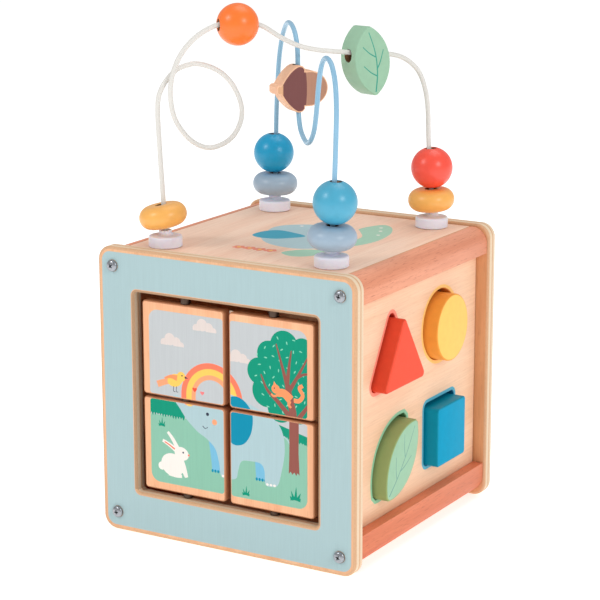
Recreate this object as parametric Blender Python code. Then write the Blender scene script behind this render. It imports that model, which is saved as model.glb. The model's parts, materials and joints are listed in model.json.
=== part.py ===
"""Wooden activity cube: turning picture blocks, a shape sorter and a bead maze.

Metres, +Z up. The cube stands on the lower edges of its front and back panels,
the picture blocks look along -Y and the sorter panel looks along +X.
"""
import math

import bmesh
import bpy
from mathutils import Matrix, Vector

MM = 0.001
GAP = 0.3 * MM  # air left between pieces that touch on the real toy
SEAT = 0.2 * MM  # the same under heads, feet, push nuts and spacers

# Cube: front and back panels of plywood on four corner rails
CUBE = 160 * MM
HALF = CUBE / 2
END_T = 8 * MM
END_CORNER_R = 8 * MM
END_EDGE_R = 1.5 * MM
INNER_Y = HALF - END_T

# Corner rails, given for the right-hand side; x outwards, z upwards
RAIL_IN = 60 * MM
RAIL_OUT = 78.6 * MM
RAIL_ROUND_R = 9 * MM
TOP_RAIL_TOP = 158.4 * MM
TOP_RAIL_UNDER = 144 * MM
LOW_RAIL_TOP = 20.4 * MM
LOW_RAIL_UNDER = 3 * MM
RABBET = 2 * MM  # how far a side panel reaches into its rails
RAIL_END_Y = INNER_Y - GAP

# Thin panels between the rails
SKIN_T = 5 * MM
SKIN_HALF_X = 68 * MM
SIDE_T = 6 * MM
SIDE_X = 72 * MM  # outer face of the sorter panel and of the left panel
SIDE_LOW = LOW_RAIL_TOP - RABBET + GAP
SIDE_HIGH = TOP_RAIL_UNDER + RABBET - GAP
SKIN_UNDER = TOP_RAIL_TOP - SKIN_T

# Retrieval opening in the left panel
HATCH_HALF_Y = 47 * MM
HATCH_LOW = 54 * MM
HATCH_HIGH = 102 * MM
HATCH_R = 22 * MM

# Screws through the end panels into the ends of the rails
SCREW_X = HALF - 9.7 * MM
SCREW_LOW = 10.5 * MM
SCREW_HIGH = CUBE - SCREW_LOW
SCREW_HEAD_R = 3.2 * MM
SCREW_HEAD_H = 2.0 * MM
SCREW_R = 1.6 * MM
SCREW_L = 20 * MM
SCREW_BORE_R = 1.85 * MM
SCREW_RIM_H = 0.5 * MM  # upright rim of the head, below its dome
SCREW_TIP = 2 * MM

# Window and the four picture blocks that turn in it
WINDOW_HALF_X = 57 * MM
WINDOW_LOW = 24.2 * MM
WINDOW_HIGH = 136.4 * MM
WINDOW_R = 2 * MM
BLOCK = 52 * MM
BLOCK_T = 6.4 * MM
BLOCK_X = 27.5 * MM
BLOCK_EDGE_R = 0.7 * MM
AXLE_Y = -74 * MM
AXLE_R = 1.2 * MM
AXLE_BORE_R = 1.5 * MM
BLOCK_BORE_R = 1.7 * MM
AXLE_LOW = 2 * MM
AXLE_HIGH = 146 * MM
AXLE_BORE_HIGH = 148 * MM
ROW_MID = 79.6 * MM  # height between the two rows of blocks
ROW_SPACE = 1.4 * MM
SPACER_R = 2.7 * MM
BLOCK_CORNER_R = 2 * MM

# Sorter shapes: centre y, centre z; each lies low in its hole
SHAPE_L = 22 * MM
SHAPE_FACE_X = 80 * MM
SHAPE_SLACK = 1.2 * MM  # hole wider than the shape, all round
SHAPE_DROP = 0.9 * MM
SHAPE_EDGE_R = 0.6 * MM
TRIANGLE_AT = (-27.0 * MM, 91.4 * MM)  # middle of the lower side
TRIANGLE_W = 47 * MM
TRIANGLE_H = 38.5 * MM
TRIANGLE_TIP = -1.5 * MM  # its top corner, off the middle
TRIANGLE_R = 2.4 * MM
DISC_AT = (27.6 * MM, 110.9 * MM)
DISC_R = 18.6 * MM
LEAF_AT = (-29.2 * MM, 50.6 * MM)
LEAF_L = 50 * MM
LEAF_W = 27.6 * MM
LEAF_TILT = math.radians(48)
SQUARE_AT = (28.1 * MM, 51.2 * MM)
SQUARE = 33.4 * MM
SQUARE_R = 2 * MM

# Bead maze on the top panel
WIRE_R = 1.35 * MM
WIRE_BORE_R = 1.7 * MM
WHITE_FOOT = (50 * MM, 59 * MM)   # the feet stand at plus and minus this place
BLUE_FOOT = (52 * MM, -57 * MM)
FOOT_R = 9.1 * MM
FOOT_H = 6.0 * MM
NECK_R = 3.5 * MM
FOOT_SHOULDER = 1.2 * MM
FOOT_TOP = 167.6 * MM
PUSH_NUT_R = 5 * MM
PUSH_NUT_H = 1.2 * MM
BEAD_BORE_R = 3.2 * MM
BALL_R = 11.6 * MM
DISC_BEAD_R = 13.0 * MM
DISC_BEAD_H = 12.4 * MM
DISC_BEAD_Z = 174.2 * MM
BALL_Z = 192.3 * MM

# How far each loose bead on a leg hangs to the right of its wire, seen from the front right
LEG_HANG = {"front_left": -0.8 * MM, "back_right": 1.1 * MM, "back_left": -1.1 * MM,
            "front_right": 0.8 * MM}
HANG_RIGHT = (0.86, 0.51, 0)
LONE_DISC_LEAN = -8.5  # degrees
LONE_DISC_LIFT = 1.1 * MM
LEAN_ABOUT = (-0.505, 0.85, 0)

# Wire routes, in mm: along the diagonal from foot to foot, height, sideways
WHITE_ROUTE = [
    (-77.3, 149, 0), (-77.4, 168, 0), (-78.4, 190, -0.6), (-79.4, 212, -1.2),
    (-79.9, 234, -1.9), (-77.4, 243.6, -2.2), (-71.3, 251.4, -2.2), (-65, 254.8, -2.2),
    (-57, 255.7, -2), (-46.2, 251.6, -1.6), (-38.6, 244, -1.2), (-33.9, 233, -0.6),
    (-34.6, 223.4, 0), (-40.8, 214.6, 0.5), (-52, 210.8, 1), (-62.4, 215.2, 1.5),
    (-70.6, 225.4, 2), (-73.7, 236.4, 2.4), (-73.2, 248.8, 2.5), (-68.4, 260.8, 2.4),
    (-59.7, 270.3, 2.4), (-48.4, 276.2, 2.4), (-35.8, 278, 2.4), (-23.2, 275.2, 2.4),
    (-12.9, 268.9, 2.4), (-3, 264, 2.3), (8.4, 261, 2.2), (25, 259, 1.9), (38, 257.8, 0),
    (51, 256.6, -1.9), (61.3, 253.4, -2.3), (69, 246.4, -2), (73, 236.3, -1.4),
    (74.6, 224.3, -0.7), (75, 206, 0), (77, 180, 0), (77.3, 168, 0), (77.3, 149, 0),
]
BLUE_ROUTE = [
    (-77.2, 149, 0), (-77.2, 168, 0.2), (-77.2, 190, 0.8), (-77, 212, 1.1), (-76, 230, 1.6),
    (-73, 246, 2), (-66.5, 258, 2.2), (-56, 266.5, 2), (-44, 271, 1.5), (-31, 271.3, 1),
    (-19.5, 268, 0.6), (-11.4, 261.5, 0.2), (-9, 254, 0), (-8, 240, 0), (-7, 226, 0),
    (-2.4, 218, 0), (7, 214, 0), (17, 213, 0), (26, 216.2, 0), (33.2, 223.2, 0.3),
    (38.6, 234.5, 0.4), (43.4, 248.5, 0.5), (50, 259, 0.6), (59.5, 263.8, 0.8),
    (70, 261.8, 1.3), (77.5, 253.6, 1.6), (80.2, 241, 1.7), (80, 225, 1.5),
    (79.2, 206, 1.1), (77.6, 180, 0.4), (77.2, 168, 0), (77.2, 149, 0),
]
WIRE_STEP = 6.5 * MM

# The orange ball turns about the centre of the round stretch it hangs on
ARC_ALONG = -36.4 * MM
ARC_HEIGHT = 241.6 * MM
ARC_SIDE = 2.4 * MM
ORANGE_Z = 276.4 * MM

# Leaf bead and acorn bead
LEAF_BEAD_ALONG = 37.2 * MM
LEAF_BEAD_Z = 256.0 * MM
LEAF_BEAD_DRILL_UP = 2.1 * MM  # bore above the middle of the leaf
LEAF_BEAD_L = 38.4 * MM
LEAF_BEAD_W = 22.2 * MM
LEAF_BEAD_T = 15.6 * MM
LEAF_BEAD_TILT = math.radians(11)  # of the leaf from square to its bore
LEAF_BEAD_BORE_R = 3.6 * MM
LEAF_BEAD_SLOPE = -0.092  # fall of the wire through it
LEAF_BEAD_VEER = -0.146  # and how it veers sideways
LEAF_BEAD_TURNS = ((-3.7, "X"), (11.5, "Y"), (1, "Z"))  # how it hangs on the wire, in degrees
ACORN_Z = 239.4 * MM
ACORN_HANG = 0.7 * MM  # bore axis to the left of the wire
ACORN_BORE_R = 2.4 * MM
ACORN_T = 11 * MM
ACORN_CAP = 25.6 * MM
ACORN_NUT = 19.4 * MM
ACORN_FACING = math.radians(55)  # turn of its face from -Y towards +X

COLOURS = {
    "plywood": ((0.86, 0.66, 0.46), 0.6),
    "beech": ((0.80, 0.47, 0.29), 0.55),
    "panel_blue": ((0.46, 0.62, 0.66), 0.5),
    "white_plastic": ((0.82, 0.81, 0.84), 0.35),
    "white_paint": ((0.80, 0.80, 0.76), 0.35),
    "blue_paint": ((0.30, 0.55, 0.76), 0.35),
    "zinc": ((0.66, 0.67, 0.69), 0.35),
    "red": ((0.90, 0.10, 0.06), 0.35),
    "orange": ((0.95, 0.22, 0.05), 0.35),
    "yellow": ((0.96, 0.52, 0.10), 0.35),
    "pale_blue": ((0.40, 0.55, 0.72), 0.35),
    "teal": ((0.00, 0.30, 0.52), 0.35),
    "sky": ((0.08, 0.42, 0.68), 0.35),
    "green": ((0.40, 0.65, 0.46), 0.45),
    "brown": ((0.30, 0.11, 0.10), 0.5),
}


def material(colour):
    """A new Principled material in one of the named colours."""
    rgb, roughness = COLOURS[colour]
    made = bpy.data.materials.new(colour)
    made.use_nodes = True
    shader = made.node_tree.nodes["Principled BSDF"]
    shader.inputs["Base Color"].default_value = (*rgb, 1)
    shader.inputs["Roughness"].default_value = roughness
    shader.inputs["Metallic"].default_value = 1.0 if colour == "zinc" else 0.0
    return made


def add_piece(name, bm, colour, place=None, smooth=False):
    """Turn a bmesh into a named object, its origin at the given place."""
    bmesh.ops.recalc_face_normals(bm, faces=bm.faces)
    mesh = bpy.data.meshes.new(name)
    bm.to_mesh(mesh)
    bm.free()
    if smooth:
        mesh.shade_smooth()
        mesh.set_sharp_from_angle(angle=math.radians(40))
    piece = bpy.data.objects.new(name, mesh)
    piece.data.materials.append(material(colour))
    piece.matrix_world = place if place is not None else Matrix.Identity(4)
    bpy.context.collection.objects.link(piece)
    return piece


def at(x, y, z):
    return Matrix.Translation((x, y, z))


def frame_at(origin, x_axis, z_axis):
    """A placement with the given origin, its Z and (nearly) its X as given."""
    z = z_axis.normalized()
    y = z.cross(x_axis).normalized()
    x = y.cross(z)
    turn = Matrix((x, y, z)).transposed()
    return Matrix.Translation(origin) @ turn.to_4x4()


# Outlines, as lists of (u, v)

def arc(u, v, radius, start, end, steps):
    """Points on an arc, angles in degrees, both ends included."""
    angles = [math.radians(start + (end - start) * i / steps) for i in range(steps + 1)]
    return [(u + radius * math.cos(a), v + radius * math.sin(a)) for a in angles]


def rounded(corners, radius, steps=4):
    """A polygon whose corners are rounded; corners run anticlockwise."""
    outline = []
    for i, corner in enumerate(corners):
        here = Vector(corner)
        back = (Vector(corners[i - 1]) - here).normalized()
        ahead = (Vector(corners[(i + 1) % len(corners)]) - here).normalized()
        half_angle = back.angle(ahead) / 2
        centre = here + (back + ahead).normalized() * (radius / math.sin(half_angle))
        reach = radius / math.tan(half_angle)
        first = here + back * reach - centre
        sweep = math.pi - 2 * half_angle
        for step in range(steps + 1):
            spoke = first.copy()
            spoke.rotate(Matrix.Rotation(sweep * step / steps, 2))
            outline.append(tuple(centre + spoke))
    return outline


def rectangle(u0, v0, u1, v1, radius, steps=4):
    return rounded([(u0, v0), (u1, v0), (u1, v1), (u0, v1)], radius, steps)


def lens(length, width, steps=8, blunt=0.055):
    """A leaf: two arcs that meet in slightly blunt tips on the u axis."""
    a, b = length / 2, width / 2
    radius = (a * a + b * b) / (2 * b)
    reach = math.degrees(math.asin(a / radius)) * (1 - blunt)
    lower = arc(0, radius - b, radius, -90 - reach, -90 + reach, steps)
    upper = arc(0, b - radius, radius, 90 - reach, 90 + reach, steps)
    return lower + upper


def moved(outline, u, v, angle=0.0):
    c, s = math.cos(angle), math.sin(angle)
    return [(u + c * p - s * q, v + s * p + c * q) for p, q in outline]


def grown(outline, amount):
    """The outline moved outwards by an amount; it runs anticlockwise."""
    result = []
    for i, point in enumerate(outline):
        here = Vector(point)
        before = (here - Vector(outline[i - 1])).normalized()
        after = (Vector(outline[(i + 1) % len(outline)]) - here).normalized()
        n0 = Vector((before.y, -before.x))
        n1 = Vector((after.y, -after.x))
        mitre = (n0 + n1).normalized()
        result.append(tuple(here + mitre * (amount / max(mitre.dot(n0), 0.5))))
    return result


# Solids

TO_X = Matrix(((0, 0, 1), (1, 0, 0), (0, 1, 0)))   # (u, v, w) to (y, z, x)
TO_Y = Matrix(((1, 0, 0), (0, 0, 1), (0, 1, 0)))   # (u, v, w) to (x, z, y)
TO_Z = Matrix.Identity(3)


def extrusion(outline, low, high, turn=TO_Z):
    """A closed prism: the outline swept from low to high."""
    bm = bmesh.new()
    base = [bm.verts.new(turn @ Vector((u, v, low))) for u, v in outline]
    top = [bm.verts.new(turn @ Vector((u, v, high))) for u, v in outline]
    bm.faces.new(base)
    bm.faces.new(top)
    for i in range(len(outline)):
        j = (i + 1) % len(outline)
        bm.faces.new((base[i], base[j], top[j], top[i]))
    return bm


def turned(profile, segments, turn=TO_Z):
    """A solid of revolution about local w; points on the axis are shared."""
    bm = bmesh.new()
    rings = []
    for radius, height in profile:
        if radius == 0:
            ring = [bm.verts.new(turn @ Vector((0, 0, height)))]
        else:
            ring = []
            for i in range(segments):
                a = math.tau * i / segments
                spoke = Vector((radius * math.cos(a), radius * math.sin(a), height))
                ring.append(bm.verts.new(turn @ spoke))
        rings.append(ring)
    closed = profile[0][0] > 0 and profile[-1][0] > 0
    for k in range(len(rings) if closed else len(rings) - 1):
        low, high = rings[k], rings[(k + 1) % len(rings)]
        for i in range(segments):
            j = (i + 1) % segments
            corners = [low[i % len(low)], low[j % len(low)],
                       high[j % len(high)], high[i % len(high)]]
            bm.faces.new(list(dict.fromkeys(corners)))
    return bm


def cylinder(radius, low, high, segments=12, turn=TO_Z):
    return turned([(0, low), (radius, low), (radius, high), (0, high)], segments, turn)


def round_edges(piece, width, segments=2):
    bevel = piece.modifiers.new("round edges", "BEVEL")
    bevel.width = width
    bevel.segments = segments
    bevel.limit_method = "ANGLE"
    bevel.angle_limit = math.radians(50)


def cut(piece, bm, place=None):
    """Subtract a closed mesh from a piece."""
    cutter = add_piece(piece.name + "_cutter", bm, "zinc", place)
    cutter.hide_render = True
    cutter.display_type = "WIRE"
    boolean = piece.modifiers.new("cut", "BOOLEAN")
    boolean.operation = "DIFFERENCE"
    boolean.solver = "EXACT"
    boolean.object = cutter


# Cube

def add_end_panel(name, side, colour):
    """Front (side -1) or back (side +1) panel with its screw holes."""
    outline = rectangle(-HALF, 0, HALF, CUBE, END_CORNER_R, 5)
    low, high = sorted((side * INNER_Y, side * HALF))
    panel = add_piece(name, extrusion(outline, low, high, TO_Y), colour)
    round_edges(panel, END_EDGE_R)
    for x in (-SCREW_X, SCREW_X):
        for z in (SCREW_LOW, SCREW_HIGH):
            bore = cylinder(SCREW_BORE_R, low - MM, high + MM, 12, TO_Y)
            cut(panel, bore, at(x, 0, z))
    return panel


def add_front_panel():
    panel = add_end_panel("front_panel", -1, "panel_blue")
    window = rectangle(-WINDOW_HALF_X, WINDOW_LOW, WINDOW_HALF_X, WINDOW_HIGH, WINDOW_R)
    cut(panel, extrusion(window, -HALF - MM, -INNER_Y + MM, TO_Y))
    for x in (-BLOCK_X, BLOCK_X):
        cut(panel, cylinder(AXLE_BORE_R, -MM, WINDOW_LOW + MM), at(x, AXLE_Y, 0))
        cut(panel, cylinder(AXLE_BORE_R, WINDOW_HIGH - MM, AXLE_BORE_HIGH), at(x, AXLE_Y, 0))


def rail_outline(top):
    """Section of a right-hand rail: round outside, rabbets for its two panels."""
    side_in = SIDE_X + GAP
    skin_out = SKIN_HALF_X + GAP
    inner_low = TOP_RAIL_UNDER + RABBET
    shelf = SKIN_UNDER - GAP
    crown = arc(RAIL_OUT - RAIL_ROUND_R, TOP_RAIL_TOP - RAIL_ROUND_R, RAIL_ROUND_R, 0, 90, 5)
    section = [(RAIL_IN, inner_low), (side_in, inner_low), (side_in, TOP_RAIL_UNDER),
               (RAIL_OUT, TOP_RAIL_UNDER), *crown, (skin_out, TOP_RAIL_TOP),
               (skin_out, shelf), (RAIL_IN, shelf)]
    if top:
        return section
    # the lower rail is the same idea upside down, and a little taller
    taller = (LOW_RAIL_TOP - LOW_RAIL_UNDER) - (TOP_RAIL_TOP - TOP_RAIL_UNDER)
    flipped = []
    for u, v in reversed(section):
        height = TOP_RAIL_TOP - v
        if v <= inner_low:
            height += taller
        flipped.append((u, LOW_RAIL_UNDER + height))
    return flipped


def add_rail(name, side, top):
    outline = [(side * u, v) for u, v in rail_outline(top)]
    rail = add_piece(name, extrusion(outline, -RAIL_END_Y, RAIL_END_Y, TO_Y), "beech")
    screw_z = SCREW_HIGH if top else SCREW_LOW
    reach = SCREW_L - END_T + 2 * MM
    for end in (-1, 1):
        low, high = sorted((end * (RAIL_END_Y + MM), end * (INNER_Y - reach)))
        cut(rail, cylinder(SCREW_BORE_R, low, high, 12, TO_Y), at(side * SCREW_X, 0, screw_z))


def add_thin_panels():
    """Top, bottom, left and sorter panels, held in the rabbets of the rails."""
    flat = rectangle(-SKIN_HALF_X, -RAIL_END_Y, SKIN_HALF_X, RAIL_END_Y, MM, 2)
    top = add_piece("top_panel", extrusion(flat, SKIN_UNDER, TOP_RAIL_TOP), "plywood")
    for x, y in foot_places().values():
        cut(top, cylinder(WIRE_BORE_R, SKIN_UNDER - MM, TOP_RAIL_TOP + MM), at(x, y, 0))
    bottom_high = LOW_RAIL_UNDER + SKIN_T
    add_piece("bottom_panel", extrusion(flat, LOW_RAIL_UNDER, bottom_high), "plywood")

    upright = rectangle(-RAIL_END_Y, SIDE_LOW, RAIL_END_Y, SIDE_HIGH, MM, 2)
    left = add_piece("left_panel", extrusion(upright, -SIDE_X, SIDE_T - SIDE_X, TO_X), "plywood")
    hatch = rectangle(-HATCH_HALF_Y, HATCH_LOW, HATCH_HALF_Y, HATCH_HIGH, HATCH_R)
    cut(left, extrusion(hatch, -SIDE_X - MM, SIDE_T - SIDE_X + MM, TO_X))
    sorter = add_piece("sorter_panel", extrusion(upright, SIDE_X - SIDE_T, SIDE_X, TO_X), "plywood")
    for outline in shape_outlines().values():
        hole = moved(grown(outline, SHAPE_SLACK), 0, SHAPE_DROP)
        cut(sorter, extrusion(hole, SIDE_X - SIDE_T - MM, SIDE_X + MM, TO_X))


def add_screws():
    """Eight pan-head screws, four in each end panel."""
    under = HALF + SEAT
    rim = under + SCREW_RIM_H
    dome_h = SCREW_HEAD_H - SCREW_RIM_H
    dome = arc(0, 0, 1, 0, 90, 3)
    head = [(SCREW_HEAD_R * u, rim + dome_h * v) for u, v in dome[:-1]]
    tip = under - SCREW_L
    profile = [(0, tip), (SCREW_R, tip + SCREW_TIP), (SCREW_R, under), (SCREW_HEAD_R, under),
               *head, (0, rim + dome_h)]
    for end, word in ((-1, "front"), (1, "back")):
        for side, hand in ((-1, "left"), (1, "right")):
            for z, level in ((SCREW_LOW, "lower"), (SCREW_HIGH, "upper")):
                facing = [(radius, end * along) for radius, along in profile]
                name = f"screw_{word}_{level}_{hand}"
                add_piece(name, turned(facing, 12, TO_Y), "zinc", at(side * SCREW_X, 0, z), True)


# Picture blocks

def block_height(row):
    """Centre height of the upper (row +1) or lower (row -1) blocks."""
    return ROW_MID + row * (ROW_SPACE + BLOCK) / 2


def add_picture_blocks():
    """Two steel axles, each with two blocks and three spacers."""
    stack_low = block_height(-1) - BLOCK / 2
    stack_high = block_height(1) + BLOCK / 2
    spaces = {"lower": (WINDOW_LOW, stack_low), "upper": (stack_high, WINDOW_HIGH),
              "middle": (ROW_MID - ROW_SPACE / 2, ROW_MID + ROW_SPACE / 2)}
    half = BLOCK / 2
    for side, hand in ((-1, "left"), (1, "right")):
        here = at(side * BLOCK_X, AXLE_Y, 0)
        add_piece(f"block_axle_{hand}", cylinder(AXLE_R, AXLE_LOW, AXLE_HIGH), "zinc", here, True)
        for row, level in ((1, "upper"), (-1, "lower")):
            z = block_height(row)
            front = rectangle(-half, -half, half, half, BLOCK_CORNER_R, 3)
            solid = extrusion(front, -BLOCK_T / 2, BLOCK_T / 2, TO_Y)
            name = f"picture_block_{level}_{hand}"
            block = add_piece(name, solid, "plywood", at(side * BLOCK_X, AXLE_Y, z))
            round_edges(block, BLOCK_EDGE_R)
            cut(block, cylinder(BLOCK_BORE_R, z - BLOCK, z + BLOCK), here)
        for level, (low, high) in spaces.items():
            low, high = low + SEAT, high - SEAT
            ring = [(AXLE_BORE_R, low), (SPACER_R, low), (SPACER_R, high), (AXLE_BORE_R, high)]
            add_piece(f"block_spacer_{level}_{hand}", turned(ring, 12), "white_plastic", here, True)


# Sorter shapes

def shape_outlines():
    """The four shapes as seen from +X, in (y, z)."""
    y, z = TRIANGLE_AT
    corners = [(y - TRIANGLE_W / 2, z), (y + TRIANGLE_W / 2, z), (y + TRIANGLE_TIP, z + TRIANGLE_H)]
    half = SQUARE / 2
    return {
        "triangle": rounded(corners, TRIANGLE_R, 3),
        "disc": arc(*DISC_AT, DISC_R, 0, 345, 23),
        "leaf": moved(lens(LEAF_L, LEAF_W), *LEAF_AT, LEAF_TILT),
        "square": moved(rectangle(-half, -half, half, half, SQUARE_R, 3), *SQUARE_AT),
    }


def add_sorter_shapes():
    """Each shape slides along X through its hole; its origin is on that line."""
    centres = {"triangle": (TRIANGLE_AT[0], TRIANGLE_AT[1] + TRIANGLE_H / 3),
               "disc": DISC_AT, "leaf": LEAF_AT, "square": SQUARE_AT}
    colours = {"triangle": "red", "disc": "yellow", "leaf": "green", "square": "teal"}
    for name, outline in shape_outlines().items():
        y, z = centres[name]
        local = moved(outline, -y, -z)
        shape = extrusion(local, -SHAPE_L, 0, TO_X)
        piece = add_piece(f"sorter_{name}", shape, colours[name], at(SHAPE_FACE_X, y, z))
        round_edges(piece, SHAPE_EDGE_R, 1)


# Bead maze

def foot_places():
    """Foot name to (x, y)."""
    return {"front_left": (-WHITE_FOOT[0], -WHITE_FOOT[1]), "back_right": WHITE_FOOT,
            "back_left": (-BLUE_FOOT[0], -BLUE_FOOT[1]), "front_right": BLUE_FOOT}


def along_and_side(foot):
    """Unit vectors along a wire's diagonal and sideways to the right of it."""
    along = Vector((foot[0], foot[1], 0)).normalized()
    side = Vector((abs(along.y), -along.x if along.y > 0 else along.x, 0))
    return along, side


def on_wire(foot, along_d, height, side_d=0.0):
    along, side = along_and_side(foot)
    return along * along_d + side * side_d + Vector((0, 0, height))


def smooth_route(points, step):
    """Points every step along a Catmull-Rom curve through the given ones."""
    padded = [points[0] * 2 - points[1], *points, points[-1] * 2 - points[-2]]
    fine = []
    for p0, p1, p2, p3 in zip(padded, padded[1:], padded[2:], padded[3:]):
        for i in range(20):
            t = i / 20
            fine.append(0.5 * (2 * p1 + (p2 - p0) * t + (2 * p0 - 5 * p1 + 4 * p2 - p3) * t * t
                               + (3 * p1 - p0 - 3 * p2 + p3) * t ** 3))
    fine.append(points[-1])
    length = sum((b - a).length for a, b in zip(fine, fine[1:]))
    spacing = length / round(length / step)
    route, travelled = [fine[0]], 0.0
    for a, b in zip(fine, fine[1:]):
        travelled += (b - a).length
        if travelled >= spacing:
            route.append(b)
            travelled -= spacing
    if (route[-1] - fine[-1]).length < spacing / 2:
        route.pop()
    return route + [fine[-1]]


def add_wire(name, foot, places, colour):
    """A rigid round wire that follows its route, with flat ends."""
    points = [on_wire(foot, s * MM, z * MM, n * MM) for s, z, n in places]
    route = smooth_route(points, WIRE_STEP)
    curve = bpy.data.curves.new(name, "CURVE")
    curve.dimensions = "3D"
    curve.bevel_depth = WIRE_R
    curve.bevel_resolution = 2
    curve.use_fill_caps = True
    spline = curve.splines.new("POLY")
    spline.points.add(len(route) - 1)
    for point, place in zip(spline.points, route):
        point.co = (*place, 1)
    wire = bpy.data.objects.new(name, curve)
    wire.data.materials.append(material(colour))
    bpy.context.collection.objects.link(wire)


def add_feet():
    """Plastic feet that the wires stand in, and push nuts under the top panel."""
    base = TOP_RAIL_TOP + SEAT
    shoulder = base + FOOT_H
    foot = [(WIRE_BORE_R, base), (FOOT_R, base), (FOOT_R, shoulder - FOOT_SHOULDER),
            (FOOT_R - FOOT_SHOULDER, shoulder), (NECK_R + 1.6 * MM, shoulder + 0.5 * MM),
            (NECK_R, shoulder + 1.8 * MM), (NECK_R, FOOT_TOP), (WIRE_BORE_R, FOOT_TOP)]
    nut_high = SKIN_UNDER - SEAT
    nut_low = nut_high - PUSH_NUT_H
    nut = [(WIRE_BORE_R, nut_low), (PUSH_NUT_R, nut_low), (PUSH_NUT_R, nut_high),
           (WIRE_BORE_R, nut_high)]
    for name, (x, y) in foot_places().items():
        add_piece(f"wire_foot_{name}", turned(foot, 18), "white_plastic", at(x, y, 0), True)
        add_piece(f"push_nut_{name}", turned(nut, 12), "zinc", at(x, y, 0), True)


def ball_profile():
    """Drilled ball, from the lower rim of its bore round to the upper one."""
    start = math.degrees(math.asin(BEAD_BORE_R / BALL_R)) - 90
    return arc(0, 0, BALL_R, start, -start, 9)


def disc_profile():
    """Drilled bead with a full round rim."""
    rim = DISC_BEAD_H / 2
    turn = arc(DISC_BEAD_R - rim, 0, rim, -90, 90, 8)
    return [(BEAD_BORE_R, -rim), *turn, (BEAD_BORE_R, rim)]


def leg_frame(foot, low, high, height):
    """Placement on a straight leg, Z along it; low and high are route points."""
    start = on_wire(foot, low[0] * MM, low[1] * MM, low[2] * MM)
    end = on_wire(foot, high[0] * MM, high[1] * MM, high[2] * MM)
    axis = (end - start).normalized()
    place = start + axis * ((height - start.z) / axis.z)
    return frame_at(place, Vector((1, 0, 0)), axis)


def add_leg_beads():
    """Disc beads and balls that lie on the feet and slide up the legs."""
    legs = {
        "front_left": (WHITE_FOOT, WHITE_ROUTE[1], WHITE_ROUTE[4], "yellow", None),
        "back_right": (WHITE_FOOT, WHITE_ROUTE[-2], WHITE_ROUTE[-4], "yellow", "red"),
        "back_left": (BLUE_FOOT, BLUE_ROUTE[1], BLUE_ROUTE[3], "pale_blue", "teal"),
        "front_right": (BLUE_FOOT, BLUE_ROUTE[-2], BLUE_ROUTE[-4], "pale_blue", "sky"),
    }
    for name, (foot, low, high, disc_colour, ball_colour) in legs.items():
        disc = leg_frame(foot, low, high, DISC_BEAD_Z)
        hang = Matrix.Translation(Vector(HANG_RIGHT) * LEG_HANG[name])
        if ball_colour:
            ball = hang @ leg_frame(foot, low, high, BALL_Z)
            add_piece(f"ball_{ball_colour}", turned(ball_profile(), 22), ball_colour, ball, True)
        else:  # the single disc leans on its foot
            lean = Matrix.Rotation(math.radians(LONE_DISC_LEAN), 4, Vector(LEAN_ABOUT))
            disc = at(0, 0, LONE_DISC_LIFT) @ hang @ disc @ lean
        add_piece(f"disc_bead_{name}", turned(disc_profile(), 22), disc_colour, disc, True)


def add_orange_ball():
    """Its origin is the centre of the arc, so that it turns along the wire."""
    centre = on_wire(WHITE_FOOT, ARC_ALONG, ARC_HEIGHT, ARC_SIDE)
    along, side = along_and_side(WHITE_FOOT)
    bm = turned(ball_profile(), 22)
    up_the_arc = at(0, ORANGE_Z - ARC_HEIGHT, 0) @ Matrix.Rotation(math.pi / 2, 4, "Y")
    bmesh.ops.transform(bm, matrix=up_the_arc, verts=bm.verts)
    add_piece("ball_orange", bm, "orange", frame_at(centre, along, side), True)


def add_leaf_bead():
    """A flat leaf, threaded across its width."""
    along, side = along_and_side(WHITE_FOOT)
    place = on_wire(WHITE_FOOT, LEAF_BEAD_ALONG, LEAF_BEAD_Z)
    axis = along + Vector((0, 0, LEAF_BEAD_SLOPE))
    upright = math.pi / 2 + LEAF_BEAD_TILT
    outline = moved(lens(LEAF_BEAD_L, LEAF_BEAD_W, 10, 0.03), 0, -LEAF_BEAD_DRILL_UP, upright)
    leaf = extrusion(outline, -LEAF_BEAD_T / 2, LEAF_BEAD_T / 2)
    pose = frame_at(place, axis, side)
    for angle, about in LEAF_BEAD_TURNS:
        pose = pose @ Matrix.Rotation(math.radians(angle), 4, about)
    bead = add_piece("leaf_bead", leaf, "green", pose)
    round_edges(bead, 0.8 * MM, 1)
    drill = cylinder(LEAF_BEAD_BORE_R, -LEAF_BEAD_W, LEAF_BEAD_W, 16)
    cut(bead, drill, pose @ Matrix.Rotation(math.pi / 2, 4, "Y"))


def acorn_outline():
    """An acorn lying along u: stalk at -u, nut at +u, the drill hole at u = 0."""
    cap, nut = ACORN_CAP / 2, ACORN_NUT / 2
    cap_end = 2.6 * MM
    upper = [(cap_end, nut + 1.2 * MM), (1.4 * MM, cap - 0.5 * MM), (-0.4 * MM, cap),
             (-2.8 * MM, cap - 0.5 * MM), (-6.2 * MM, cap - 3 * MM), (-9.4 * MM, cap - 6.6 * MM),
             (-11.6 * MM, 2.9 * MM), (-13.2 * MM, 2.7 * MM), (-14.3 * MM, 1.6 * MM)]
    lower = [(u, -v) for u, v in reversed(upper)]
    belly = [(5.2 * MM + 11 * MM * u, nut * v) for u, v in arc(0, 0, 1, -90, 90, 9)]
    return [*lower, (cap_end, -nut), *belly, (cap_end, nut), *upper]


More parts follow.
